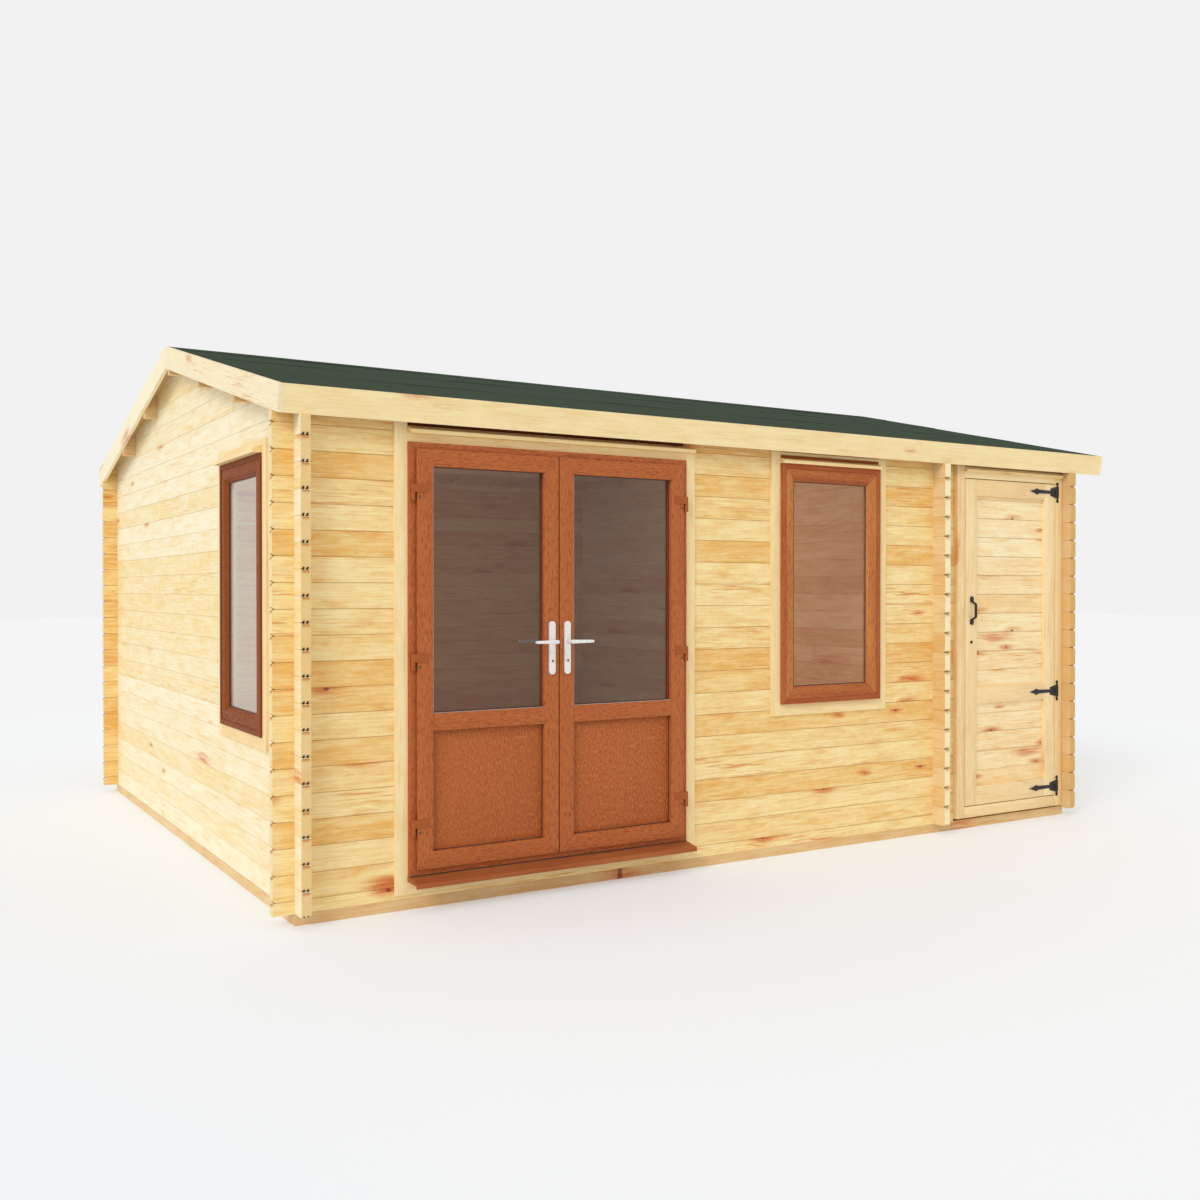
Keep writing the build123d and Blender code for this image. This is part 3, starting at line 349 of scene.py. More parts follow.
def course_group():
    """Boards in courses: each board's number and middle, the painted shade at its joints and in its hollows,
    and the painted shadow under them.
    """
    tree, ports, end = group(
        "Courses",
        [("Across", "Float", 0.0), ("Start", "Float", 0.0), ("Pitch", "Float", COURSE), ("Wall", "Float", 0.0),
         ("Off middle", "Float", 1.0), ("End face", "Float", 0.0)],
        [("Board", "Float"), ("Local", "Float"), ("Seam", "Float"), ("Hollow", "Float"), ("Stain", "Float")])
    pitch = ports["Pitch"]
    steps = calc(tree, "DIVIDE", minus(tree, ports["Across"], ports["Start"]), pitch)
    number = calc(tree, "FLOOR", steps)
    share = minus(tree, minus(tree, steps, number), 0.5)
    edge = times(tree, minus(tree, 0.5, calc(tree, "ABSOLUTE", share)), pitch)
    under = times(tree, minus(tree, 0.5, share), pitch)
    raised = calc(tree, "FRACT", minus(tree, steps, calc(tree, "DIVIDE", HOLLOW_UP, pitch)))
    level = times(tree, minus(tree, 0.5, calc(tree, "ABSOLUTE", minus(tree, raised, 0.5))), pitch)
    off = calc(tree, "ABSOLUTE", ports["Off middle"])
    beside = calc(tree, "ABSOLUTE", minus(tree, off, HOLLOW))
    hollow_shade = times(tree, fade(tree, level, *HOLLOW_TALL), fade(tree, beside, *HOLLOW_WIDE))
    hollow_shadow = times(tree, fade(tree, under, *SHADOW_DOWN), fade(tree, off, *SHADOW_WIDE), ports["End face"])
    feed(tree, end, Board=plus(tree, number, ports["Wall"]), Local=times(tree, share, pitch),
         Seam=fade(tree, edge, *GROOVE_SHADE), Hollow=hollow_shade, Stain=hollow_shadow)
    return tree


COURSES = course_group()
print("course group:", len(COURSES.nodes), "nodes, base at", round(BASE_TOP, 4))

# %% Pine in courses
PLAIN = (0.0, "ffffff")  # no tint at all
NO_ENDS = 9.0            # a middle so far off that no painted shade of a hollow is drawn


def pine_in_courses(name, order, start, pitch, wall, wood, knot_share=0.28, tone=0.5,
                    groove_shade=(0.45, "9c5e2a"), middle=NO_ENDS, ends=("e9c687", 1.0), stub_shade=PLAIN):
    """Pine for a CAD node: order names the axes along, across and into the boards. Groove_shade and
    stub_shade are a share and a colour of painted shade, along the joints and on the log stubs in front
    of the front wall, and ends are a colour and how strongly the painted shade of the hollows and the
    painted shadow under them show there."""
    material, tree, shader = finish_material(name)
    coordinates = put(tree, "TexCoord")
    where = put(tree, "SeparateXYZ", other(coordinates, "Object"))
    facing = put(tree, "SeparateXYZ", other(coordinates, "Normal"))
    along, across, depth = (other(where, axis) for axis in order)
    end_face = span(tree, calc(tree, "ABSOLUTE", other(facing, order[0])), 0.6, 0.9)
    board = place(tree, COURSES, (across, start, pitch, wall, minus(tree, depth, middle), end_face))
    grain = put(tree, "CombineXYZ", along, other(board, "Local"), depth)
    figure = pine(tree, wood, grain, board, knot_share, tone)
    # Painted shade on the stubs in front of the front wall, the end colour, painted shade along the joints,
    # painted shadow under the hollows, and painted shade in them.
    layers = ((span(tree, along, STUB - 0.002, STUB, stub_shade[0], 0.0), stub_shade[1]),
              (times(tree, end_face, 0.8), ends[0]),
              (times(tree, other(board, "Seam"), groove_shade[0]), groove_shade[1]),
              (times(tree, other(board, "Stain"), 0.95 * ends[1]), "b9732f"),
              (times(tree, other(board, "Hollow"), ends[1]), "2e1208"))
    colour = figure
    for mask, code in layers:
        colour = blend(tree, mask, colour, paint(code))
    feed(tree, shader, Base_Color=colour, Roughness=other(figure, "Roughness"))
    relief(tree, shader, other(figure, "Height"), 0.0005, 0.5)
    return material


print("pine in courses ready")

# %% Finish the walls, the roof boards and the floors
def cover(material, *names):
    """Give CAD nodes a finish."""
    for name in names:
        mesh = nodes[name].data
        mesh.materials.clear()
        mesh.materials.append(material)


half = BASE_TOP + COURSE / 2
LOG_HALF = 0.022
FRONT_WALLS = [name for name in nodes if name.startswith("front_wall_")]
for side, walls, wall, knot_share, middle in (("front", FRONT_WALLS, 100.0, 0.24, STUB + LOG_HALF),
                                              ("back", ["back_wall"], 200.0, 0.2,
                                               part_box("back_wall")[1].y - LOG_HALF)):
    cover(pine_in_courses(f"Pine logs {side}", "XZY", half, COURSE, wall, "front", knot_share, middle=middle,
                          ends=("eed8a6", 1.0)), *walls)
# Each wall's wood, its end colour with the strength of the painted shade in its hollows, and the painted shade
# on its stubs.
ENDS = {"left": ("side", ("e5bd76", 1.0), PLAIN), "cross": ("inner", ("fbeec0", 0.7), (0.5, "d9ab5c")),
        "right": ("side", ("d2a155", 0.0), (0.65, "cf9a4c"))}
for number, (side, (wood, ends, stub_shade)) in enumerate(ENDS.items()):
    low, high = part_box(f"{side}_wall")
    print(f"{side} wall: x {low.x:.4f} to {high.x:.4f}")
    cover(pine_in_courses(f"Pine logs {side}", "YZX", BASE_TOP, COURSE, 300.0 + 100 * number, wood, 0.07, 0.45,
                          (0.26, "b98a4a"), (low.x + high.x) / 2, ends, stub_shade), f"{side}_wall", f"{side}_gable")
cover(pine_in_courses("Roof boards", "YXZ", 0.0, 0.088, 900.0, "sawn", 0.35, 0.6), "roof_boards")
cover(pine_in_courses("Floor boards", "YXZ", 0.0, 0.113, 1100.0, "trim", 0.35, 0.5), "floors")
print("walls and boards finished")

# %% [markdown]
# ## Loose boards
# Trims, bargeboards, fascias, purlins and the store door are single planks. Some nodes hold one
# solid for each plank, so their planks are read from the node: every solid becomes a plank whose
# grain runs along its longest edge. The rest are drawn as an outline pushed through its thickness.
# Either way the edges are eased, and every vertex keeps its place along, across and into the
# plank, so that the grain follows the plank wherever it points.

# %% Gather solids and put them in the scene
class Stack:
    """Gathers small solids into one mesh, with the grain of each."""

    def __init__(self, seed):
        self.points, self.faces, self.grain, self.board = [], [], [], []
        self.joint, self.shade = [], []
        self.dice = random.Random(seed)

    def add(self, bm, along=(1, 0, 0), across=(0, 0, 1), shade=0.0):
        """Take in one solid. Shade moves its colour, where the finish reads it: a tone, and on the sections of
        windows and doors also painted light.
        """
        first = len(self.points)
        u = Vector(along).normalized()
        v = Vector(across).normalized()
        w = u.cross(v)
        number = float(self.dice.randrange(5000))
        marks = bm.verts.layers.float.get("joint")
        bm.verts.index_update()
        middle = sum((p.co for p in bm.verts), Vector()) / len(bm.verts)
        for vertex in bm.verts:
            off = vertex.co - middle
            self.points.append(vertex.co[:])
            self.grain.append((vertex.co.dot(u), off.dot(v), off.dot(w)))
            self.board.append(number)
            self.joint.append(vertex[marks] if marks else 0.0)
            self.shade.append(shade)
        self.faces += [[first + p.index for p in face.verts] for face in bm.faces]
        bm.free()

    def build(self, name, body, material, slot, *replaced):
        """Make the object, and say what it rides on and stands for."""
        mesh = bpy.data.meshes.new(name)
        mesh.from_pydata(self.points, [], self.faces)
        grain = mesh.attributes.new("grain", "FLOAT_VECTOR", "POINT")
        grain.data.foreach_set("vector", [c for p in self.grain for c in p])
        for label, values in (("board", self.board), ("joint", self.joint), ("shade", self.shade)):
            mesh.attributes.new(label, "FLOAT", "POINT").data.foreach_set("value", values)
        mesh.materials.append(material)
        return settle(name, mesh, body, replaced)


def settle(name, mesh, body, replaced=()):
    """Put a finished mesh in the scene, on its body."""
    bm = bmesh.new()
    bm.from_mesh(mesh)
    bmesh.ops.recalc_face_normals(bm, faces=bm.faces)
    bm.to_mesh(mesh)
    bm.free()
    mesh.shade_smooth()
    mesh.set_sharp_from_angle(angle=math.radians(32))
    piece = bpy.data.objects.new(name, mesh)
    bpy.context.scene.collection.objects.link(piece)
    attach(piece, body)
    if replaced:
        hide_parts(*replaced)
    print(f"{name}: {len(mesh.polygons)} faces")
    return piece


print("stacks ready")

# %% Draw a plank
HAIR = 0.0002                        # play between pieces that would share a face
UPRIGHT = ((0, 0, 1), (1, 0, 0))     # along and across a plank that stands


def ease_edges(bm, ease):
    """Bevel the sharp edges of a solid."""
    sharp = [edge for edge in bm.edges if edge.calc_face_angle(0.0) > math.radians(20)]
    if ease and sharp:
        bmesh.ops.bevel(bm, geom=sharp, offset=ease, segments=2, affect="EDGES", profile=0.5)


def pushed(outline, push, ease=0.0015):
    """A solid from an outline of points, pushed along a vector, with eased edges."""
    bm = bmesh.new()
    push = Vector(push)
    near = [bm.verts.new(p) for p in outline]
    far = [bm.verts.new(Vector(p) + push) for p in outline]
    bm.faces.new(near)
    bm.faces.new(far[::-1])
    for i, p in enumerate(near):
        j = (i + 1) % len(near)
        bm.faces.new((p, near[j], far[j], far[i]))
    bmesh.ops.recalc_face_normals(bm, faces=bm.faces)
    ease_edges(bm, ease)
    return bm


def plank(x0, x1, y0, y1, z0, z1, ease=0.0015):
    """A plank between two corners."""
    return pushed([(x0, y0, z0), (x1, y0, z0), (x1, y0, z1), (x0, y0, z1)], (0, y1 - y0, 0), ease)


print("planks ready")

# %% Read planks from a node
def solids_in(name):
    """Each separate solid of a node, as its own mesh with flat faces."""
    whole = bmesh.new()
    whole.from_mesh(nodes[name].data)
    bmesh.ops.remove_doubles(whole, verts=whole.verts, dist=0.00001)
    bmesh.ops.dissolve_limit(whole, angle_limit=math.radians(0.5), verts=whole.verts, edges=whole.edges)
    whole.verts.index_update()
    left = dict.fromkeys(whole.faces)
    solids = []
    while left:
        first = next(iter(left))
        del left[first]
        todo, made, piece = [first], {}, bmesh.new()
        while todo:
            face = todo.pop()
            for vertex in face.verts:
                if vertex.index not in made:
                    made[vertex.index] = piece.verts.new(vertex.co)
            piece.faces.new([made[vertex.index] for vertex in face.verts])
            for near in (f for edge in face.edges for f in edge.link_faces if f in left):
                if near in left:
                    del left[near]
                    todo.append(near)
        piece.edges.index_update()
        solids.append(piece)
    whole.free()
    return solids


def solid_boxes(name):
    """The low and high corner of each solid of a node."""
    boxes = []
    for piece in solids_in(name):
        corners = [vertex.co for vertex in piece.verts]
        boxes.append(tuple(Vector(f(c[i] for c in corners) for i in range(3)) for f in (min, max)))
        piece.free()
    return boxes


def boards_of(stack, name, ease=0.0015):
    """Every solid of a node as a plank, with its grain along its longest edge."""
    for piece in solids_in(name):
        runs = [edge.verts[1].co - edge.verts[0].co for edge in piece.edges]
        along = max(runs, key=lambda run: run.length).normalized()
        if max(along, key=abs) < 0:
            along = -along
        square = [run for run in runs if abs(run.normalized().dot(along)) < 0.1]
        across = max(square, key=lambda run: run.length)
        ease_edges(piece, ease)
        stack.add(piece, along, across)


field_widths = sorted(high.z - low.z for low, high in solid_boxes("store_door_boards"))
print("boards of the store door:", len(field_widths))

# %% Pine for planks
def pine_plank(name, wood, knot_share=0.22, tone=0.5, half=0.0):
    """Pine for planks that carry their own grain. Half a width draws the joints beside each plank."""
    material, tree, shader = finish_material(name)
    grain = mark(tree, "grain", "Vector")
    board = mark(tree, "board")
    colour = figure = pine(tree, wood, grain, board, knot_share, tone)
    if half:
        off = calc(tree, "ABSOLUTE", other(put(tree, "SeparateXYZ", grain), "Y"))
        joint = span(tree, off, half - 0.0045, half - 0.001, 0.0, 0.36)
        colour = blend(tree, joint, colour, paint("a5692e"))
    feed(tree, shader, Base_Color=colour, Roughness=other(figure, "Roughness"))
    relief(tree, shader, other(figure, "Height"), 0.0005, 0.5)
    return material


TRIM_PINE = pine_plank("Pine trim", "trim", 0.18, 0.45)
PALE_PINE = pine_plank("Pine bargeboard", "verge", 0.16, 0.4)
STORE_PINE = pine_plank("Pine store door", "store", 0.18, 0.45)
FIELD_PINE = pine_plank("Pine store boards", "field", 0.34, 0.45, field_widths[len(field_widths) // 2] / 2)
SAWN_PINE = pine_plank("Sawn pine", "sawn", 0.3, 0.5)
print("plank finishes ready")

# %% [markdown]
# ## Trims, caps and the boards of the roof
# Flat boards cover the joint between a frame and the logs, and a sloping cap keeps rain off each
# head. The bargeboards are the palest wood on the cabin, which is painted light, and the fascias
# take the trim's wood. The bearers and purlins are sawn, so they are duller. All of these nodes
# hold one solid a board.

# %% Boards read from the frame
def boards(name, seed, material, slot, ease, *names):
    """One piece that stands for the boards of some nodes."""
    stack = Stack(seed)
    for node in names:
        boards_of(stack, node, ease)
    return stack.build(name, "cabin", material, slot, *names)


EASED = 0.002           # the rounding of a plank's edges
boards("door_trim_boards", 11, TRIM_PINE, "pine_trim", EASED, "door_trim")
boards("window_trim_boards", 12, TRIM_PINE, "pine_trim", EASED, "front_window_trim", "side_window_trim")
boards("drip_cap_boards", 13, TRIM_PINE, "pine_trim", EASED, "drip_caps")
boards("verge_boards", 21, PALE_PINE, "pine_trim", EASED, "left_bargeboards", "right_bargeboards")
boards("fascia_boards", 22, TRIM_PINE, "pine_trim", EASED, "front_fascia", "back_fascia")
boards("purlin_beams", 23, SAWN_PINE, "roof_timber", 1.5 * EASED, "purlins")
boards("bearer_beams", 24, SAWN_PINE, "roof_timber", EASED, "base_bearers")

# %% [markdown]
# ## Painted shade over the caps
# Log walls settle as they dry, so a gap is left over each frame. Above the door and the front
# window the recess between the cap and the fascia lies in deep shade, and a dark strip on the logs
# there is painted shade.

# %% Strips of painted shade over the caps
def painted_shade_material(name, low, high):
    """Plain dark painted shade, a little uneven."""
    material, tree, shader = finish_material(name, Roughness=0.9, Specular_IOR_Level=0.1)
    noise = cloud(tree, stretch(tree, here(tree), 3.0, 40.0, 60.0))
    feed(tree, shader, Base_Color=blend(tree, noise, paint(low), paint(high)))
    return material


SHADE_STRIP_THICK = 0.006
BEHIND_FASCIA = 0.014   # how far a strip reaches up


def painted_shade_strip(name, x0, x1, back, low, top, material):
    """A strip of painted shade that stands on what is behind it, from just above a cap up behind the fascia.
    """
    strip = Stack(28)
    strip.add(plank(x0 + 0.002, x1 - 0.002, back - SHADE_STRIP_THICK, back - HAIR, low, top, 0.001))
    strip.build(name, "cabin", material, "roof_timber")


_, door_cap, window_cap, _ = sorted(solid_boxes("drip_caps"), key=lambda box: box[0].x)
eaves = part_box("front_fascia")[0].z
painted_shade_strip("door_painted_shade_strip", door_cap[0].x, door_cap[1].x - 0.05, STUB, eaves - 0.003, eaves + BEHIND_FASCIA,
        painted_shade_material("Dark painted shade", "5a2410", "6e3016"))
painted_shade_strip("window_painted_shade_strip", window_cap[0].x, window_cap[1].x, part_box("front_window_trim")[0].y,
        window_cap[1].z - 0.002, window_cap[1].z + BEHIND_FASCIA,
        painted_shade_material("Brown painted shade", "8c4420", "a05428"))

# %% [markdown]
# ## Foil
# The double door and the window frames are plastic sections under a printed wood-grain film. The
# film has short dark flecks along each section, hardly any relief, and a satin finish. The
# sections are welded at mitres, and the weld shows as a thin dark line where the grain turns.
# Every section therefore carries its own grain, as the planks do, and a mark that is one at its
# cut ends and falls to nothing within two millimetres.

# %% The foil
def foil_material(name, base, light, dark, fleck=0.65, speckle=0.0, weld=0.35, gloss=0.2):
    """Printed film: flames and flecks along the grain, and golden speckle on a panel."""
    material, tree, shader = finish_material(name, Roughness=0.5, Specular_IOR_Level=gloss)
    grain = mark(tree, "grain", "Vector")
    board = mark(tree, "board")
    joint = mark(tree, "joint")
    shade = mark(tree, "shade")
    luck = put(tree, "TexWhiteNoise", board, noise_dimensions="1D")
    shift = put(tree, "CombineXYZ", times(tree, luck, 19.0), 0.0, 0.0)
    spot = put(tree, "VectorMath", grain, shift, operation="ADD")
    flame = streaks(tree, spot, 2.2, 26.0)
    lines = streaks(tree, spot, 34.0, 150.0, 3.0)
    tone = plus(tree, span(tree, flame, 0.3, 0.7, 0.3, 0.7), shade, clamp=True)
    layers = [(times(tree, span(tree, lines, 0.5, 0.66), fleck), dark),
              (span(tree, lines, 0.3, 0.44, 0.6 * fleck, 0.0), "cd7c42")]
    if speckle:
        dots = streaks(tree, spot, 62.0, 170.0, 1.0)
        layers += [(span(tree, dots, 0.5, 0.68, 0.0, speckle), "cf8a48"),
                   (span(tree, dots, 0.3, 0.46, speckle, 0.0), "8e4524")]
    layers.append((times(tree, joint, weld), "5e2e18"))
    colour = blend(tree, tone, paint(base), paint(light))
    for mask, code in layers:
        colour = blend(tree, mask, colour, paint(code))
    feed(tree, shader, Base_Color=colour, Roughness=span(tree, lines, 0.3, 0.7, 0.42, 0.56))
    relief(tree, shader, lines, 0.0002, 0.3)
    return material


FOIL = foil_material("Golden foil", "ac5a2b", "b96937", "823c1a")
FOIL_PANEL = foil_material("Golden foil panels", "aa572a", "b26031", "8a4420", 0.3, 0.5)
FOIL_WINDOW = foil_material("Golden foil windows", "a24e26", "c67f40", "84401f", 0.5, weld=0.6)
# A darker copy of the window film for the side window: painted shade.
FOIL_PAINTED_SHADE = foil_material("Golden foil side window in painted shade", "84421f", "8f4c24", "683418", 0.35, weld=0.5,
                            gloss=0.05)
print("foil ready")

# %% Mitred sections
WELD = 0.0018           # how far the weld's dark line reaches into a section


def run_of(rings, marks):
    """A solid through rings of points, each with its joint mark."""
    bm = bmesh.new()
    layer = bm.verts.layers.float.new("joint")
    made = []
    for ring, value in zip(rings, marks):
        line = [bm.verts.new(p) for p in ring]
        for vertex in line:
            vertex[layer] = value
        made.append(line)
    bm.faces.new(made[0])
    bm.faces.new(made[-1][::-1])
    count = len(made[0])
    for low, high in zip(made, made[1:]):
        for i in range(count):
            j = (i + 1) % count
            bm.faces.new((low[i], low[j], high[j], high[i]))
    return bm


def on_left(points):
    """Turn points drawn on a front wall onto the left wall: along becomes Y and outward -X."""
    return [(y, x, z) for x, y, z in points]


SIDES = ((True, True), (True, False), (False, True), (False, False))  # (upright, on the low side)


def mitred(stack, box, profile, left_wall=False, tone_and_light=(0.0, 0.0), weld=WELD, sides=SIDES):
    """Four sections round a box, cut at 45 degrees. The profile is (inward, outward) points."""
    x0, x1, z0, z1 = box
    steps = ((True, 0.00015), (True, weld), (False, weld), (False, 0.00015))
    flat = (0, 1, 0) if left_wall else (1, 0, 0)
    for upright, low_side in sides:
        rings = []
        for near, gap in steps:
            ring = []
            for inward, out in profile:
                slack = inward + gap
                if upright:
                    x = x0 + inward if low_side else x1 - inward
                    z = z0 + slack if near else z1 - slack
                else:
                    z = z0 + inward if low_side else z1 - inward
                    x = x0 + slack if near else x1 - slack
                ring.append((x, out, z))
            rings.append(on_left(ring) if left_wall else ring)
        section = run_of(rings, (1.0, 0.0, 0.0, 1.0))
        directions = ((0, 0, 1), flat) if upright else (flat, (0, 0, 1))
        stack.add(section, *directions, shade=tone_and_light[0] if upright else tone_and_light[1])


def eased(points, radius, segments=3):
    """Round the convex and concave corners of a profile."""
    made = []
    for i, p in enumerate(points):
        p, a, b = Vector(p), Vector(points[i - 1]), Vector(points[(i + 1) % len(points)])
        u, v = (a - p), (b - p)
        r = min(radius, u.length / 2.2, v.length / 2.2)
        start, stop = p + u.normalized() * r, p + v.normalized() * r
        for k in range(segments + 1):
            t = k / segments
            made.append(tuple((1 - t) ** 2 * start + 2 * t * (1 - t) * p + t * t * stop))
    return made


print("sections:", len(SIDES), "to a frame")

# %% [markdown]
# ## Windows
# A window frame is a flat outer band, a sash set four millimetres behind it, and a sloping bead
# that holds the glass, with a dark rubber line where bead and glass meet. One profile for each,
# carried round the frame's box with mitred corners, makes them. The band is a little darker than
# the sash, and the uprights are painted lighter than the cross pieces: painted light. The side
# window's film is a darker copy of the front window's: painted shade.

# %% Rubber, and the plan of a node
def plan(node, left_wall=False):
    """(x0, x1, z0, z1) and (front, back) of a node, drawn as on a front wall."""
    low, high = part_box(node)
    if left_wall:
        return (low.y, high.y, low.z, high.z), (low.x, high.x)
    return (low.x, high.x, low.z, high.z), (low.y, high.y)


def rubber_material(name, low, high):
    """A gasket, with a little dust. The same finish in pale grey draws a painted highlight."""
    material, tree, shader = finish_material(name, Roughness=0.6)
    dust = cloud(tree, here(tree), 90.0, 2.0)
    feed(tree, shader, Base_Color=blend(tree, dust, paint(low), paint(high)))
    return material


RUBBER = rubber_material("Glazing rubber", "2a2423", "3d3431")
# A pale strip at the left and the foot of each door pane: a painted highlight.
PAINTED_HIGHLIGHT = rubber_material("Pale painted highlight", "958f8d", "a6a09e")
print("front window:", plan("front_window_frame"))

# %% Window frames
BITE = 0.012            # how deep a pane sits in its frame
BAND, BAND_STEP, BAND_THICK = 0.026, 0.004, 0.010  # the band's width, its step to the sash, and behind it
SASH, BEAD = 0.073, 0.021


def window(name, node, glass, material, left_wall=False):
    """One window: outer band, sash with its bead, and the rubber."""
    box, (front, back) = plan(node, left_wall)
    pane_front, pane_back = plan(glass, left_wall)[1]
    inner = SASH + BEAD
    sash_face = front + BAND_STEP
    land = pane_front - 0.003
    band_back = sash_face + BAND_THICK
    band = eased([(0.0, front), (BAND, front), (BAND, band_back), (0.0, band_back)], 0.0016)
    rebate = (pane_front - 0.0003, pane_back + 0.0003)
    behind = band_back + HAIR
    sash = eased([(HAIR, behind), (BAND + HAIR, behind), (BAND + HAIR, sash_face), (SASH, sash_face),
                  (inner, land), (inner, rebate[0]), (inner - BITE, rebate[0]), (inner - BITE, rebate[1]),
                  (inner, rebate[1]), (inner, pane_back + 0.003), (inner - BEAD, back), (HAIR, back)], 0.0012)
    frame_stack = Stack(31 if left_wall else 30)
    # The band darker than the sash, and the uprights painted lighter than the cross pieces: painted light.
    mitred(frame_stack, box, band, left_wall, (-0.35, -0.45))
    mitred(frame_stack, box, sash, left_wall, (0.25, -0.15))
    frame_stack.build(f"{name}_frame_sections", "cabin", material, "woodgrain_foil", node)
    rubber = Stack(33)
    lip = 0.004
    edge = [(inner - HAIR, land + 0.0006), (inner + 0.001, land + 0.0002), (inner + lip, pane_front - 0.0012),
            (inner + lip, pane_front - 0.0001), (inner - HAIR, pane_front - 0.0001)]
    mitred(rubber, box, edge, left_wall, weld=0.0004)
    rubber.build(f"{name}_glazing_rubber", "cabin", RUBBER, "glazing_rubber")


window("front_window", "front_window_frame", "front_window_glass", FOIL_WINDOW)
window("side_window", "side_window_frame", "side_window_glass", FOIL_PAINTED_SHADE, left_wall=True)

# %% The pale lining of the side window
side_box, _ = plan("side_window_frame", True)
side_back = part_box("side_window_glass")[1].x
LINING = (0.004, 0.030)  # from the back of the pane to the near and far edge of the lining
inset = SASH + BEAD
far = side_box[1] - inset
lining = Stack(34)
lining.add(plank(side_back + LINING[0], side_back + LINING[1], far - 0.002, far - HAIR,
                 side_box[2] + inset, side_box[3] - inset, 0.0005), *UPRIGHT)
lining.build("side_window_lining", "cabin", rubber_material("Pale lining", "f0cdb0", "f4d6bc"), "pine_trim")

# %% [markdown]
# ## The double door
# Each leaf is a welded ring of sections with one rail across it. The face is flat, with softly
# rounded edges, and a lip that laps the outer frame in front. The glass and the lower panel lie
# well back, so the edge of the opening shades them. A dark seal runs round the glass and the
# panel. A pale strip at the left and the foot of each pane, on the front edge of the opening, is a
# painted highlight, and the uprights are painted a little lighter than the head and foot: painted light.

# %% Sections, rail and seals of a leaf
LIP, LIP_IN = 0.014, 0.016  # the lip's thickness, and how far it stands past the body
STILE, JAMB = 0.078, 0.040  # widths of a leaf's section and of the outer frame
SOFT = 0.003                # the rounding of the door's sections


def lip_profile(front, back):
    """Section of a leaf: a lip in front, and the body set in behind it."""
    return eased([(0.0, front), (STILE, front), (STILE, back), (LIP_IN, back), (LIP_IN, front + LIP),
                  (0.0, front + LIP)], SOFT)


def cross_rail(stack, x0, x1, low, high, front, back):
    """The rail between glass and panel, butted between the stiles."""
    profile = eased([(front, low), (front, high), (back, high), (back, low)], SOFT)
    places = (x0, x0 + WELD, x1 - WELD, x1)
    stack.add(run_of([[(x, y, z) for y, z in profile] for x in places], (1.0, 0.0, 0.0, 1.0)))


def glazing_seal(name, body, hole, pane_front, material):
    """A seal round an opening of a leaf."""
    seal = Stack(45)
    edge = [(-0.0005, pane_front - 0.0035), (0.0024, pane_front - 0.003), (0.003, pane_front - 0.0001),
            (-0.0005, pane_front - 0.0001)]
    mitred(seal, hole, edge, weld=0.0004)
    seal.build(name, body, material, "glazing_rubber")


def arris_highlight(name, body, hole, front):
    """A pale strip on the front edge of the opening, at its left and its foot: a painted highlight."""
    line = Stack(46)
    edge = [(-0.0014, front - 0.0003), (0.0006, front + 0.0006), (0.0006, front + 0.0034),
            (-0.0014, front + 0.0012)]
    mitred(line, hole, edge, weld=0.0004, sides=(SIDES[0], SIDES[2]))
    line.build(name, body, PAINTED_HIGHLIGHT, "glazing_rubber")


print("leaf sections:", STILE, "wide")

# %% Door frame, leaves and panels
def door_leaf(side, seed):
    """One leaf, its lower panel and its seals."""
    body = f"{side}_door"
    leaf_box, (front, back) = plan(f"{side}_door_leaf")
    glass_box, (glass_front, _) = plan(f"{side}_door_glass")
    panel_box, (panel_front, panel_back) = plan(f"{side}_door_panel")
    low, high = panel_box[3] - BITE, glass_box[2] + BITE
    x0, x1 = leaf_box[0] + STILE, leaf_box[1] - STILE
    leaf = Stack(seed)
    # Uprights painted lighter than the head and foot: painted light.
    mitred(leaf, leaf_box, lip_profile(front, back), tone_and_light=(0.08, -0.05))
    cross_rail(leaf, x0 - 0.0001, x1 + 0.0001, low, high, front, back)
    leaf.build(f"{body}_leaf_sections", body, FOIL, "woodgrain_foil", f"{body}_leaf")
    panel = Stack(seed + 10)
    panel.add(plank(*panel_box[:2], panel_front, panel_back, *panel_box[2:], 0.001), *UPRIGHT)
    panel.build(f"{body}_panel_sheet", body, FOIL_PANEL, "woodgrain_foil", f"{body}_panel")
    opening = (x0, x1, high, leaf_box[3] - STILE)
    glazing_seal(f"{body}_glass_seal", body, opening, glass_front, RUBBER)
    arris_highlight(f"{body}_glass_arris_highlight", body, opening, front)
    glazing_seal(f"{body}_panel_seal", body, (x0, x1, leaf_box[2] + STILE, low), panel_front, RUBBER)


frame_box, (frame_front, frame_back) = plan("door_frame")
jambs = Stack(40)
section = eased([(0.0, frame_front), (JAMB, frame_front), (JAMB, frame_back), (0.0, frame_back)], SOFT)
mitred(jambs, frame_box, section, tone_and_light=(-0.1, -0.1))
jambs.build("door_frame_sections", "cabin", FOIL, "woodgrain_foil", "door_frame")
# A dark strip where the door frame meets the cill: painted shade in the gap.
foot = Stack(47)
foot.add(plank(frame_box[0] + 0.001, frame_box[1] - 0.001, frame_front - 0.0025, frame_front + 0.001,
               frame_box[2] - 0.0005, frame_box[2] + 0.004, 0.0008))
foot.build("door_foot_shade_strip", "cabin", RUBBER, "glazing_rubber")
door_leaf("left", 41)
door_leaf("right", 42)

# %% [markdown]
# ## The store door
# The store door is joinery in pine: two stiles, three rails, and fields of short boards that lie
# back from the face, with the part boards beside the middle rail. The left post of its frame is
# longer than the right one and ends behind the fascia.

# %% Store door in planks
STORE_STILE, STORE_FACE, STORE_STOP = 0.100, 0.066, 0.015


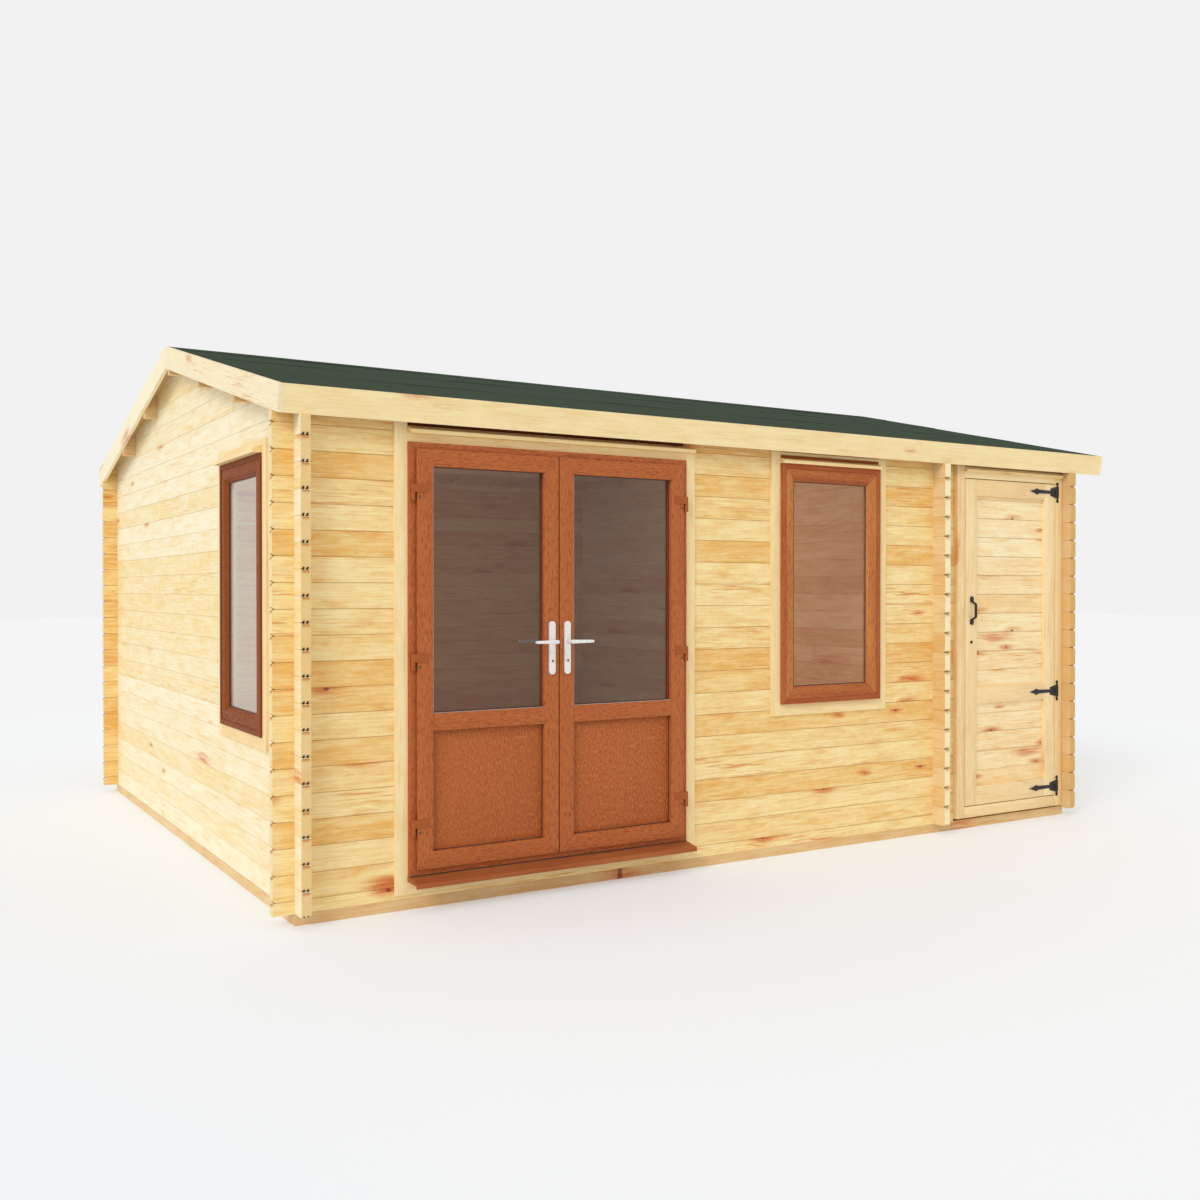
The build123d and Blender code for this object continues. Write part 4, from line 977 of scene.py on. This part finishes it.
def store_door():
    """Stiles, rails and field boards of the store's leaf."""
    (x0, x1, z0, z1), (front, back) = plan("store_door_leaf")
    bottom_rail, mid = 0.113, 0.665  # the foot rail's height, and the middle rail's middle
    rails = ((z0, z0 + bottom_rail), (z0 + mid - STORE_STILE / 2, z0 + mid + STORE_STILE / 2),
             (z1 - STORE_STILE, z1))
    leaf = Stack(50)
    for a, b in ((x0, x0 + STORE_STILE), (x1 - STORE_STILE, x1)):
        leaf.add(plank(a, b, front, back, z0, z1, EASED), *UPRIGHT)
    for a, b in rails:
        leaf.add(plank(x0 + STORE_STILE + HAIR, x1 - STORE_STILE - HAIR, front + 2 * HAIR, back, a, b))
    leaf.build("store_door_stiles_and_rails", "store_door", STORE_PINE, "store_timber", "store_door_leaf")
    field = Stack(51)
    boards_of(field, "store_door_boards", 0.0022)
    field.build("store_door_field_boards", "store_door", FIELD_PINE, "store_timber", "store_door_boards")


store_door()

# %% The store's frame
def store_frame():
    """Posts, head and foot of the store's frame, with the stop behind the leaf."""
    (x0, x1, z0, top), (front, back) = plan("store_door_frame")
    z1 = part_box("store_door_leaf")[1].z + 0.005 + STORE_FACE
    wall_face, stop_front = front + 0.030, front + 0.045  # how far back the logs and the stops begin
    posts = Stack(52)
    tall = [(front, z0), (back, z0), (back, z1), (wall_face, z1), (wall_face, top), (front, top)]
    posts.add(pushed([(x0, y, z) for y, z in tall], (STORE_FACE, 0, 0), EASED), *UPRIGHT)
    posts.add(plank(x1 - STORE_FACE, x1, front, back, z0, z1, EASED), *UPRIGHT)
    left, right, low, high = x0 + STORE_FACE, x1 - STORE_FACE, z0 + STORE_FACE, z1 - STORE_FACE
    for a in (left, right - STORE_STOP):
        posts.add(plank(a, a + STORE_STOP, stop_front, back, low, high, EASED), *UPRIGHT)
    for a, b in ((z0, low), (high, z1)):
        posts.add(plank(left + HAIR, right - HAIR, front + 2 * HAIR, back, a, b))
    for a in (low, high - STORE_STOP):
        posts.add(plank(left + STORE_STOP, right - STORE_STOP, stop_front, back, a, a + STORE_STOP, EASED))
    posts.build("store_door_frame_posts", "cabin", STORE_PINE, "store_timber", "store_door_frame")


store_frame()

# %% [markdown]
# ## Felt
# The roof is laid with mineral felt in strips along the eaves, each lapping the one below, and a
# cap strip over the ridge. Felt never lies dead flat, so each strip is a grid with a slight swell,
# and rows of clout nails hold the laps.

# %% The shape of the roof
STRIP, LAP = 0.80, 0.08    # width of a strip, and how far each laps the one below
CAP = 0.26                 # how far the cap strip comes down from the ridge
SPARE = 0.30               # no other strip begins nearer the ridge than this
FELT, THICK = 0.0012, 0.003  # rise over a lap, and thickness on the deck
felt_low, felt_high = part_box("roof_felt")
RIDGE_Y = (felt_low.y + felt_high.y) / 2
SLOPE = math.radians(13.5)
HALF_RUN = (felt_high.y - felt_low.y) / 2
SLOPE_LENGTH = HALF_RUN / math.cos(SLOPE)


def on_slope(flip, along, lift):
    """A point on the roof: along the slope up from the eave, and lift square to it."""
    y = -HALF_RUN + along * math.cos(SLOPE) - lift * math.sin(SLOPE)
    z = felt_high.z - (SLOPE_LENGTH - along) * math.sin(SLOPE) + lift * math.cos(SLOPE)
    return RIDGE_Y + flip * y, z


def strip_starts():
    """Where the strips of one slope begin, from the eave up."""
    starts = [0.0]
    while starts[-1] + STRIP - LAP < SLOPE_LENGTH - SPARE:
        starts.append(starts[-1] + STRIP - LAP)
    return starts


def swell(x, along, seed):
    """How far the felt stands off the deck, up to a millimetre."""
    return 0.0004 * (math.sin(5.1 * x + seed) + math.sin(9.7 * along + 1.7 * x + 2.0 * seed) + 1.2)


print(f"slope: {SLOPE_LENGTH:.3f} m from eave to ridge")

# %% Felt strips
def felt_strip(stack, flip, start, stop, lift, seed):
    """One strip up the slope, with its top and its underside."""
    columns, rows = 64, 6
    bm = bmesh.new()
    sheets = []
    for under in (False, True):
        sheet = []
        for i in range(columns + 1):
            x = felt_low.x + (felt_high.x - felt_low.x) * i / columns
            line = []
            for j in range(rows + 1):
                along = start + (stop - start) * j / rows
                ease = 1.0 - j / rows if lift else 0.0
                rise = lift * ease + swell(x, along, seed)
                if under:
                    rise = -THICK if not lift else rise - 0.001
                y, z = on_slope(flip, along, rise)
                line.append(bm.verts.new((x, y, z)))
            sheet.append(line)
        sheets.append(sheet)
    top, low = sheets
    for sheet in sheets:
        for i in range(columns):
            for j in range(rows):
                bm.faces.new((sheet[i][j], sheet[i + 1][j], sheet[i + 1][j + 1], sheet[i][j + 1]))
    for i in range(columns):
        for j in (0, rows):
            bm.faces.new((top[i][j], top[i + 1][j], low[i + 1][j], low[i][j]))
    for j in range(rows):
        for i in (0, columns):
            bm.faces.new((top[i][j], top[i][j + 1], low[i][j + 1], low[i][j]))
    bmesh.ops.recalc_face_normals(bm, faces=bm.faces)
    stack.add(bm, (1, 0, 0), (0, 1, 0))


def felt_material():
    """Green grit with a few pale chips, and broad weathering."""
    material, tree, shader = finish_material("Green mineral felt", Roughness=0.95, Specular_IOR_Level=0.1)
    grain = mark(tree, "grain", "Vector")
    grit = put(tree, "TexVoronoi", grain, 420.0)
    chips = other(put(tree, "SeparateColor", other(grit, "Color")), "Red")
    colour = blend(tree, chips, paint("283725"), paint("3b4a38"))
    pale = span(tree, chips, 0.93, 1.0)
    colour = blend(tree, times(tree, pale, 0.6), colour, paint("5d6f5b"))
    weather = streaks(tree, grain, 0.9, 3.0, 3.0)
    colour = blend(tree, span(tree, weather, 0.35, 0.75, 0.0, 0.28), colour, paint("24321f"))
    feed(tree, shader, Base_Color=colour, Roughness=span(tree, chips, 0.0, 1.0, 0.86, 0.98))
    relief(tree, shader, chips, 0.0009, 0.8)
    return material


felt = Stack(60)
for flip in (1, -1):
    for level, start in enumerate(strip_starts()):
        stop = min(start + STRIP, SLOPE_LENGTH - 0.0005)
        felt_strip(felt, flip, start, stop, FELT if level else 0.0, 3.0 * level + flip)
    felt_strip(felt, flip, SLOPE_LENGTH - CAP, SLOPE_LENGTH - 0.0003, 2.0 * FELT, 17.0 + flip)
felt.build("roof_felt_strips", "cabin", felt_material(), "green_felt", "roof_felt")

# %% [markdown]
# ## Metal and glass
# The levers and their plates are white coated metal, the store's T hinges and pull are black
# hammered iron, and the flag hinges wear the colour of the door. Panes are thick clear slabs with
# a tint. Lamps and sky have to reach the room behind them, so for the rays that carry light a
# pane is a hole.

# %% Metal
def metal_material(name, low, high, scale, distance, **plain):
    """Coated metal with a little mottle and relief."""
    material, tree, shader = finish_material(name, **plain)
    mottle = cloud(tree, here(tree), scale, 2.0)
    rough = plain["Roughness"]
    feed(tree, shader, Base_Color=blend(tree, mottle, paint(low), paint(high)),
         Roughness=span(tree, mottle, 0.3, 0.7, rough - 0.06, rough + 0.06))
    relief(tree, shader, mottle, distance)
    return material


WHITE = metal_material("White coated handle", "dcdcda", "efefed", 60.0, 0.00005, Roughness=0.28, Metallic=0.0)
IRON = metal_material("Black hammered iron", "1b1b1d", "303033", 260.0, 0.0004, Roughness=0.48, Metallic=0.3)
BROWN = metal_material("Brown hinge coat", "9e5329", "aa5f31", 90.0, 0.0001, Roughness=0.55, Metallic=0.0,
                       Specular_IOR_Level=0.1)
cover(WHITE, "left_door_plates", "right_door_plates", "left_door_levers", "right_door_levers")
cover(IRON, "store_door_hinge_plates", "store_door_hinge_straps", "store_door_pull")
cover(BROWN, "door_frame_hinges", "left_door_hinges", "right_door_hinges")
print("metal finishes ready")

# %% Glass
def glass_material(name, tint, shade, bend):
    """A tinted pane that lets lamp light and bounced light straight through."""
    material, tree, shader = finish_material(name, Roughness=0.0, Transmission_Weight=1.0, IOR=bend)
    film = cloud(tree, here(tree), 1.3, 2.0)
    feed(tree, shader, Base_Color=blend(tree, film, paint(tint), paint(shade)))
    clear = put(tree, "BsdfTransparent", (1.0, 1.0, 1.0, 1.0))
    path = put(tree, "LightPath")
    light_ray = plus(tree, other(path, "Is Shadow Ray"), other(path, "Is Diffuse Ray"), clamp=True)
    mix = put(tree, "MixShader", light_ray, shader.outputs["BSDF"], clear)
    feed(tree, tree.nodes["Material Output"], Surface=mix)
    return material


# The panes are one glass in three tints, from near clear on the side window to dark on the doors: painted
# light and shade on the room seen through them.
cover(glass_material("Door glass", "8c8082", "847a7c", 1.55), "left_door_glass", "right_door_glass")
cover(glass_material("Window glass", "e1c4b0", "dabda9", 1.52), "front_window_glass")
cover(glass_material("Side glass", "ecfaff", "e6f4fa", 1.7), "side_window_glass")
print("panes finished")

# %% The cill
def cill_material():
    """The cill's film, with the grain along it."""
    material, tree, shader = finish_material("Golden foil cill", Roughness=0.5, Specular_IOR_Level=0.15)
    where = here(tree)
    lines = streaks(tree, where, 18.0, 200.0, 3.0)
    flame = streaks(tree, where, 2.0, 24.0)
    colour = blend(tree, span(tree, flame, 0.3, 0.7), paint("9c532c"), paint("ab6437"))
    feed(tree, shader, Base_Color=blend(tree, span(tree, lines, 0.5, 0.75, 0.0, 0.5), colour, paint("7a3f1b")))
    relief(tree, shader, lines, 0.0002, 0.4)
    return material


cover(cill_material(), "door_cill")
print("cill finished")

# %% [markdown]
# ## Fastenings
# Each flag hinge, handle plate and T hinge is held by screws, the pull by two coach bolts, and the
# felt by clout nails along its laps. A head is a small dome: a ring of points at the rim, one
# further in, and a crown. The door's lock takes a brass cylinder with a slot for the key.

# %% A domed head
def head(stack, at, out, radius, height, sides=12):
    """A domed head at a point, facing along out."""
    out = Vector(out).normalized()
    side = out.orthogonal().normalized()
    up = out.cross(side)
    bm = bmesh.new()
    rings = []
    for r, h in ((1.0, -0.25), (1.0, 0.2), (0.82, 0.68), (0.45, 0.95)):
        turn = (2 * math.pi * k / sides for k in range(sides))
        rings.append([bm.verts.new(Vector(at) + out * height * h
                                   + (side * math.cos(a) + up * math.sin(a)) * radius * r) for a in turn])
    for low, high in zip(rings, rings[1:]):
        for i in range(sides):
            j = (i + 1) % sides
            bm.faces.new((low[i], low[j], high[j], high[i]))
    bm.faces.new(rings[0][::-1])
    bm.faces.new(rings[-1])
    stack.add(bm)


FRONT = (0, -1, 0)
FLAG_SCREW, SET_SCREW = (0.0042, 0.0012), (0.0075, 0.0018)   # radius and height of each head
PLATE_SCREW, CYLINDER = (0.0034, 0.0010), (0.0068, 0.0012)
STRAP_SCREW, PULL_BOLT = (0.0036, 0.0016), (0.0040, 0.0018)
print("heads ready")

# %% Screws of the flag hinges
GRUB = metal_material("Dull set screws", "5a4636", "6d5745", 90.0, 0.00005, Roughness=0.6, Metallic=0.2)


def flag_screws(side, sign):
    """Two screws in every flag of a leaf's hinges, away from the barrel, and a set screw below it."""
    stack, grub = Stack(70), Stack(77)
    leaf_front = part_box(f"{side}_door_leaf")[0].y
    for low, high in solid_boxes(f"{side}_door_hinges"):
        barrel, tip = (low.x, high.x) if sign > 0 else (high.x, low.x)
        for inset in (0.012, 0.040):
            head(stack, (tip - sign * inset, low.y, (low.z + high.z) / 2), FRONT, *FLAG_SCREW)
        head(grub, (barrel + sign * 0.040, leaf_front, low.z - 0.021), FRONT, *SET_SCREW)
    stack.build(f"{side}_door_hinge_screws", f"{side}_door", BROWN, "woodgrain_foil")
    grub.build(f"{side}_door_set_screws", f"{side}_door", GRUB, "satin_handle")


flag_screws("left", 1)
flag_screws("right", -1)

# %% Handle plates and locks
BRASS = metal_material("Satin brass", "a98442", "c29a55", 120.0, 0.00003, Roughness=0.35, Metallic=1.0)
LEVER_UP, KEY_DOWN = 0.030, 0.092  # lever above the plate's middle, and cylinder below the lever


def plate_screws(side):
    """Two small screws in the outside handle plate, and the brass cylinder with its slot."""
    low, high = min(solid_boxes(f"{side}_door_plates"), key=lambda box: box[0].y)
    x, face = (low.x + high.x) / 2, high.y - 0.008
    stack = Stack(71)
    for z in (low.z + 0.014, high.z - 0.014):
        head(stack, (x, face, z), FRONT, *PLATE_SCREW)
    stack.build(f"{side}_door_plate_screws", f"{side}_door", WHITE, "satin_handle")
    key_z, key_face = (low.z + high.z) / 2 + LEVER_UP - KEY_DOWN, low.y
    brass = Stack(72)
    head(brass, (x, key_face, key_z), FRONT, *CYLINDER, 20)
    brass.build(f"{side}_door_key_cylinder", f"{side}_door", BRASS, "key_brass")
    slot = Stack(73)
    half_width, half_height = 0.0009, 0.004
    slot.add(plank(x - half_width, x + half_width, key_face - 0.0016, key_face - 0.0010,
                   key_z - half_height, key_z + half_height, 0.0))
    slot.build(f"{side}_door_key_slot", f"{side}_door", IRON, "black_iron")


plate_screws("left")
plate_screws("right")

# %% Screws and bolts of the store door
def tee_screws():
    """Screws in the straps and plates of the T hinges, and bolts in the pull's pads."""
    iron = 0.004  # thickness of straps and plates
    straps = Stack(74)
    for low, high in solid_boxes("store_door_hinge_straps"):
        for along in (0.040, 0.105, 0.185):
            head(straps, (high.x - along, high.y - iron, (low.z + high.z) / 2), FRONT, *STRAP_SCREW)
    low, high = max(solid_boxes("store_door_pull"), key=lambda box: box[1].z - box[0].z)
    for z in (low.z + 0.010, high.z - 0.010):
        head(straps, ((low.x + high.x) / 2, high.y - 0.009, z), FRONT, *PULL_BOLT)
    straps.build("store_door_screws", "store_door", IRON, "black_iron")
    plates = Stack(75)
    for low, high in solid_boxes("store_door_hinge_plates"):
        for z in (low.z + 0.013, (low.z + high.z) / 2, high.z - 0.013):
            head(plates, (high.x - 0.0125, high.y - iron, z), FRONT, *STRAP_SCREW)
    plates.build("store_frame_screws", "cabin", IRON, "black_iron")


tee_screws()

# %% Nails in the felt
NAIL = metal_material("Weathered clout nails", "3c4640", "525c54", 90.0, 0.00005, Roughness=0.6,
                      Metallic=0.4)
NAIL_STEP, NAIL_UP = 0.16, 0.02  # between nails, and up from the edge of a strip


def clout_nails():
    """Nails along the lower edge of every felt strip."""
    nails = Stack(76)
    for flip in (1, -1):
        outward = Vector((0, -flip * math.sin(SLOPE), math.cos(SLOPE)))
        rows = [(start + NAIL_UP, FELT if start else 0.0) for start in strip_starts()]
        rows.append((SLOPE_LENGTH - CAP + NAIL_UP, 2.0 * FELT))
        for along, lift in rows:
            x = felt_low.x + 0.05
            while x < felt_high.x - 0.03:
                head(nails, (x, *on_slope(flip, along, lift + 0.0008)), outward, 0.0045, 0.0008, 8)
                x += NAIL_STEP
    nails.build("felt_clout_nails", "cabin", NAIL, "black_iron")


clout_nails()

# %% [markdown]
# ## Softened edges
# Machined parts catch light along their edges. The nodes from the frame keep their meshes, and a
# weld, a planar dissolve and a small bevel are added as modifiers, which leave the mesh alone.

# %% Ease the edges of the frame's own parts
def soften(width, *names):
    """Modifiers that join a node's triangles into faces and ease its edges."""
    for name in names:
        piece = nodes[name]
        piece.modifiers.new("weld", "WELD").merge_threshold = 0.00001
        flat = piece.modifiers.new("faces", "DECIMATE")
        flat.decimate_type = "DISSOLVE"
        flat.angle_limit = math.radians(0.6)
        bevel = piece.modifiers.new("edges", "BEVEL")
        bevel.width = width
        bevel.segments = 2
        bevel.limit_method = "ANGLE"
        bevel.angle_limit = math.radians(30)
        bevel.harden_normals = True
    print(f"eased by {width} m:", ", ".join(names))


soften(0.002, "door_cill")
soften(0.001, "store_door_hinge_plates", "store_door_hinge_straps", "left_door_hinges", "right_door_hinges",
       "door_frame_hinges", "left_door_plates", "right_door_plates")
soften(0.003, "left_door_levers", "right_door_levers", "store_door_pull")

# %% [markdown]
# ## Floor, lamps and camera
# The cabin stands on a pale floor under a bright overcast sky, with one broad lamp from the left.
# The camera sees the backdrop as a light grey. It also sees the floor partly as a fixed white, so
# the shadow on it is soft. Lamps and sky are set so that pine keeps its colour and the
# palest boards stay under white. A small lamp in the room stands in for the daylight that a
# closed cabin keeps out, so that the far logs show through the panes.

# %% Backdrop and floor
SEEN_SKY = (0.887, 0.887, 0.89, 1.0)
NEAR_FLOOR, LEFT_FLOOR = (0.945, 0.97, 0.985, 1.0), (0.89, 0.925, 0.975, 1.0)
FAR_FLOOR = (0.905, 0.908, 0.912, 1.0)
FIXED_WHITE, FIXED_SHARE = (0.267, 0.267, 0.268, 1.0), 0.3  # the part of the floor that takes no shadow
WHITE_LIGHT, DARK = (1.0, 1.0, 1.0, 1.0), (0.0, 0.0, 0.0, 1.0)


def backdrop():
    """A bright sky for the light, and a grey one for what is seen directly or in glass and metal."""
    world = bpy.data.worlds.new("Studio")
    world.use_nodes = True
    bpy.context.scene.world = world
    tree = world.node_tree
    sky = tree.nodes["Background"]
    sky.inputs["Color"].default_value = WHITE_LIGHT
    sky.inputs["Strength"].default_value = 0.78
    seen = put(tree, "Background", SEEN_SKY, 1.0)
    path = put(tree, "LightPath")
    straight = plus(tree, other(path, "Is Camera Ray"), other(path, "Is Glossy Ray"),
                    other(path, "Is Transmission Ray"), clamp=True)
    mix = put(tree, "MixShader", straight, sky.outputs["Background"], seen)
    feed(tree, tree.nodes["World Output"], Surface=mix)


def floor():
    """A wide pale floor, cooler on the left and a little greyer far away."""
    mesh = bpy.data.meshes.new("studio_floor")
    reach = 60.0
    mesh.from_pydata([(-reach, -reach, 0), (reach, -reach, 0), (reach, reach, 0), (-reach, reach, 0)], [],
                     [(0, 1, 2, 3)])
    material, tree, shader = finish_material("Studio floor", Roughness=0.9)
    where = here(tree)
    away = put(tree, "VectorMath", where, operation="LENGTH")
    far = span(tree, other(away, "Value"), 5.0, 11.0)
    left = fade(tree, put(tree, "SeparateXYZ", where), -4.6, -2.2)
    colour = blend(tree, left, NEAR_FLOOR, LEFT_FLOOR)
    colour = blend(tree, far, colour, FAR_FLOOR)
    seen = other(put(tree, "LightPath"), "Is Camera Ray")
    feed(tree, shader, Base_Color=blend(tree, times(tree, seen, FIXED_SHARE), colour, DARK),
         Emission_Color=blend(tree, seen, DARK, FIXED_WHITE))
    shader.inputs["Emission Strength"].default_value = 1.0
    mesh.materials.append(material)
    piece = bpy.data.objects.new("studio_floor", mesh)
    bpy.context.scene.collection.objects.link(piece)


backdrop()
floor()
print("backdrop and floor ready")

# %% Lamps
def lamp(name, strength, direction, softness):
    """A sun that shines along a direction, with an angle that softens its shadows."""
    light = bpy.data.lights.new(name, "SUN")
    light.energy = strength
    light.angle = math.radians(softness)
    piece = bpy.data.objects.new(name, light)
    piece.rotation_euler = Vector(direction).to_track_quat("-Z", "Y").to_euler()
    bpy.context.scene.collection.objects.link(piece)


def room_lamp(name, at, power, colour):
    """A soft lamp inside the cabin, which only lights its walls."""
    light = bpy.data.lights.new(name, "POINT")
    light.energy = power
    light.color = colour
    light.shadow_soft_size = 0.45
    piece = bpy.data.objects.new(name, light)
    piece.location = at
    piece.visible_camera = piece.visible_glossy = piece.visible_transmission = False
    bpy.context.scene.collection.objects.link(piece)


room_lamp("room", (-0.7, 0.2, 1.5), 40.0, (0.85, 0.93, 1.0))
lamp("key", 1.10, (0.72, 0.43, -0.55), 26.0)
print("lamps:", ", ".join(light.name for light in bpy.data.lights))

# %% Camera
camera = bpy.data.cameras.new("camera")
camera.sensor_width = 36.0
camera.lens = 36.49
camera.clip_end = 200.0
eye = bpy.data.objects.new("camera", camera)
eye.location = (-4.2081, -7.1996, 1.4443)
eye.rotation_euler = (math.radians(89.54), 0.0, math.radians(-31.49))
bpy.context.scene.collection.objects.link(eye)
bpy.context.scene.camera = eye
bpy.context.scene.view_settings.view_transform = "Standard"
print(f"camera: {camera.lens} mm at {tuple(round(c, 2) for c in eye.location)}")
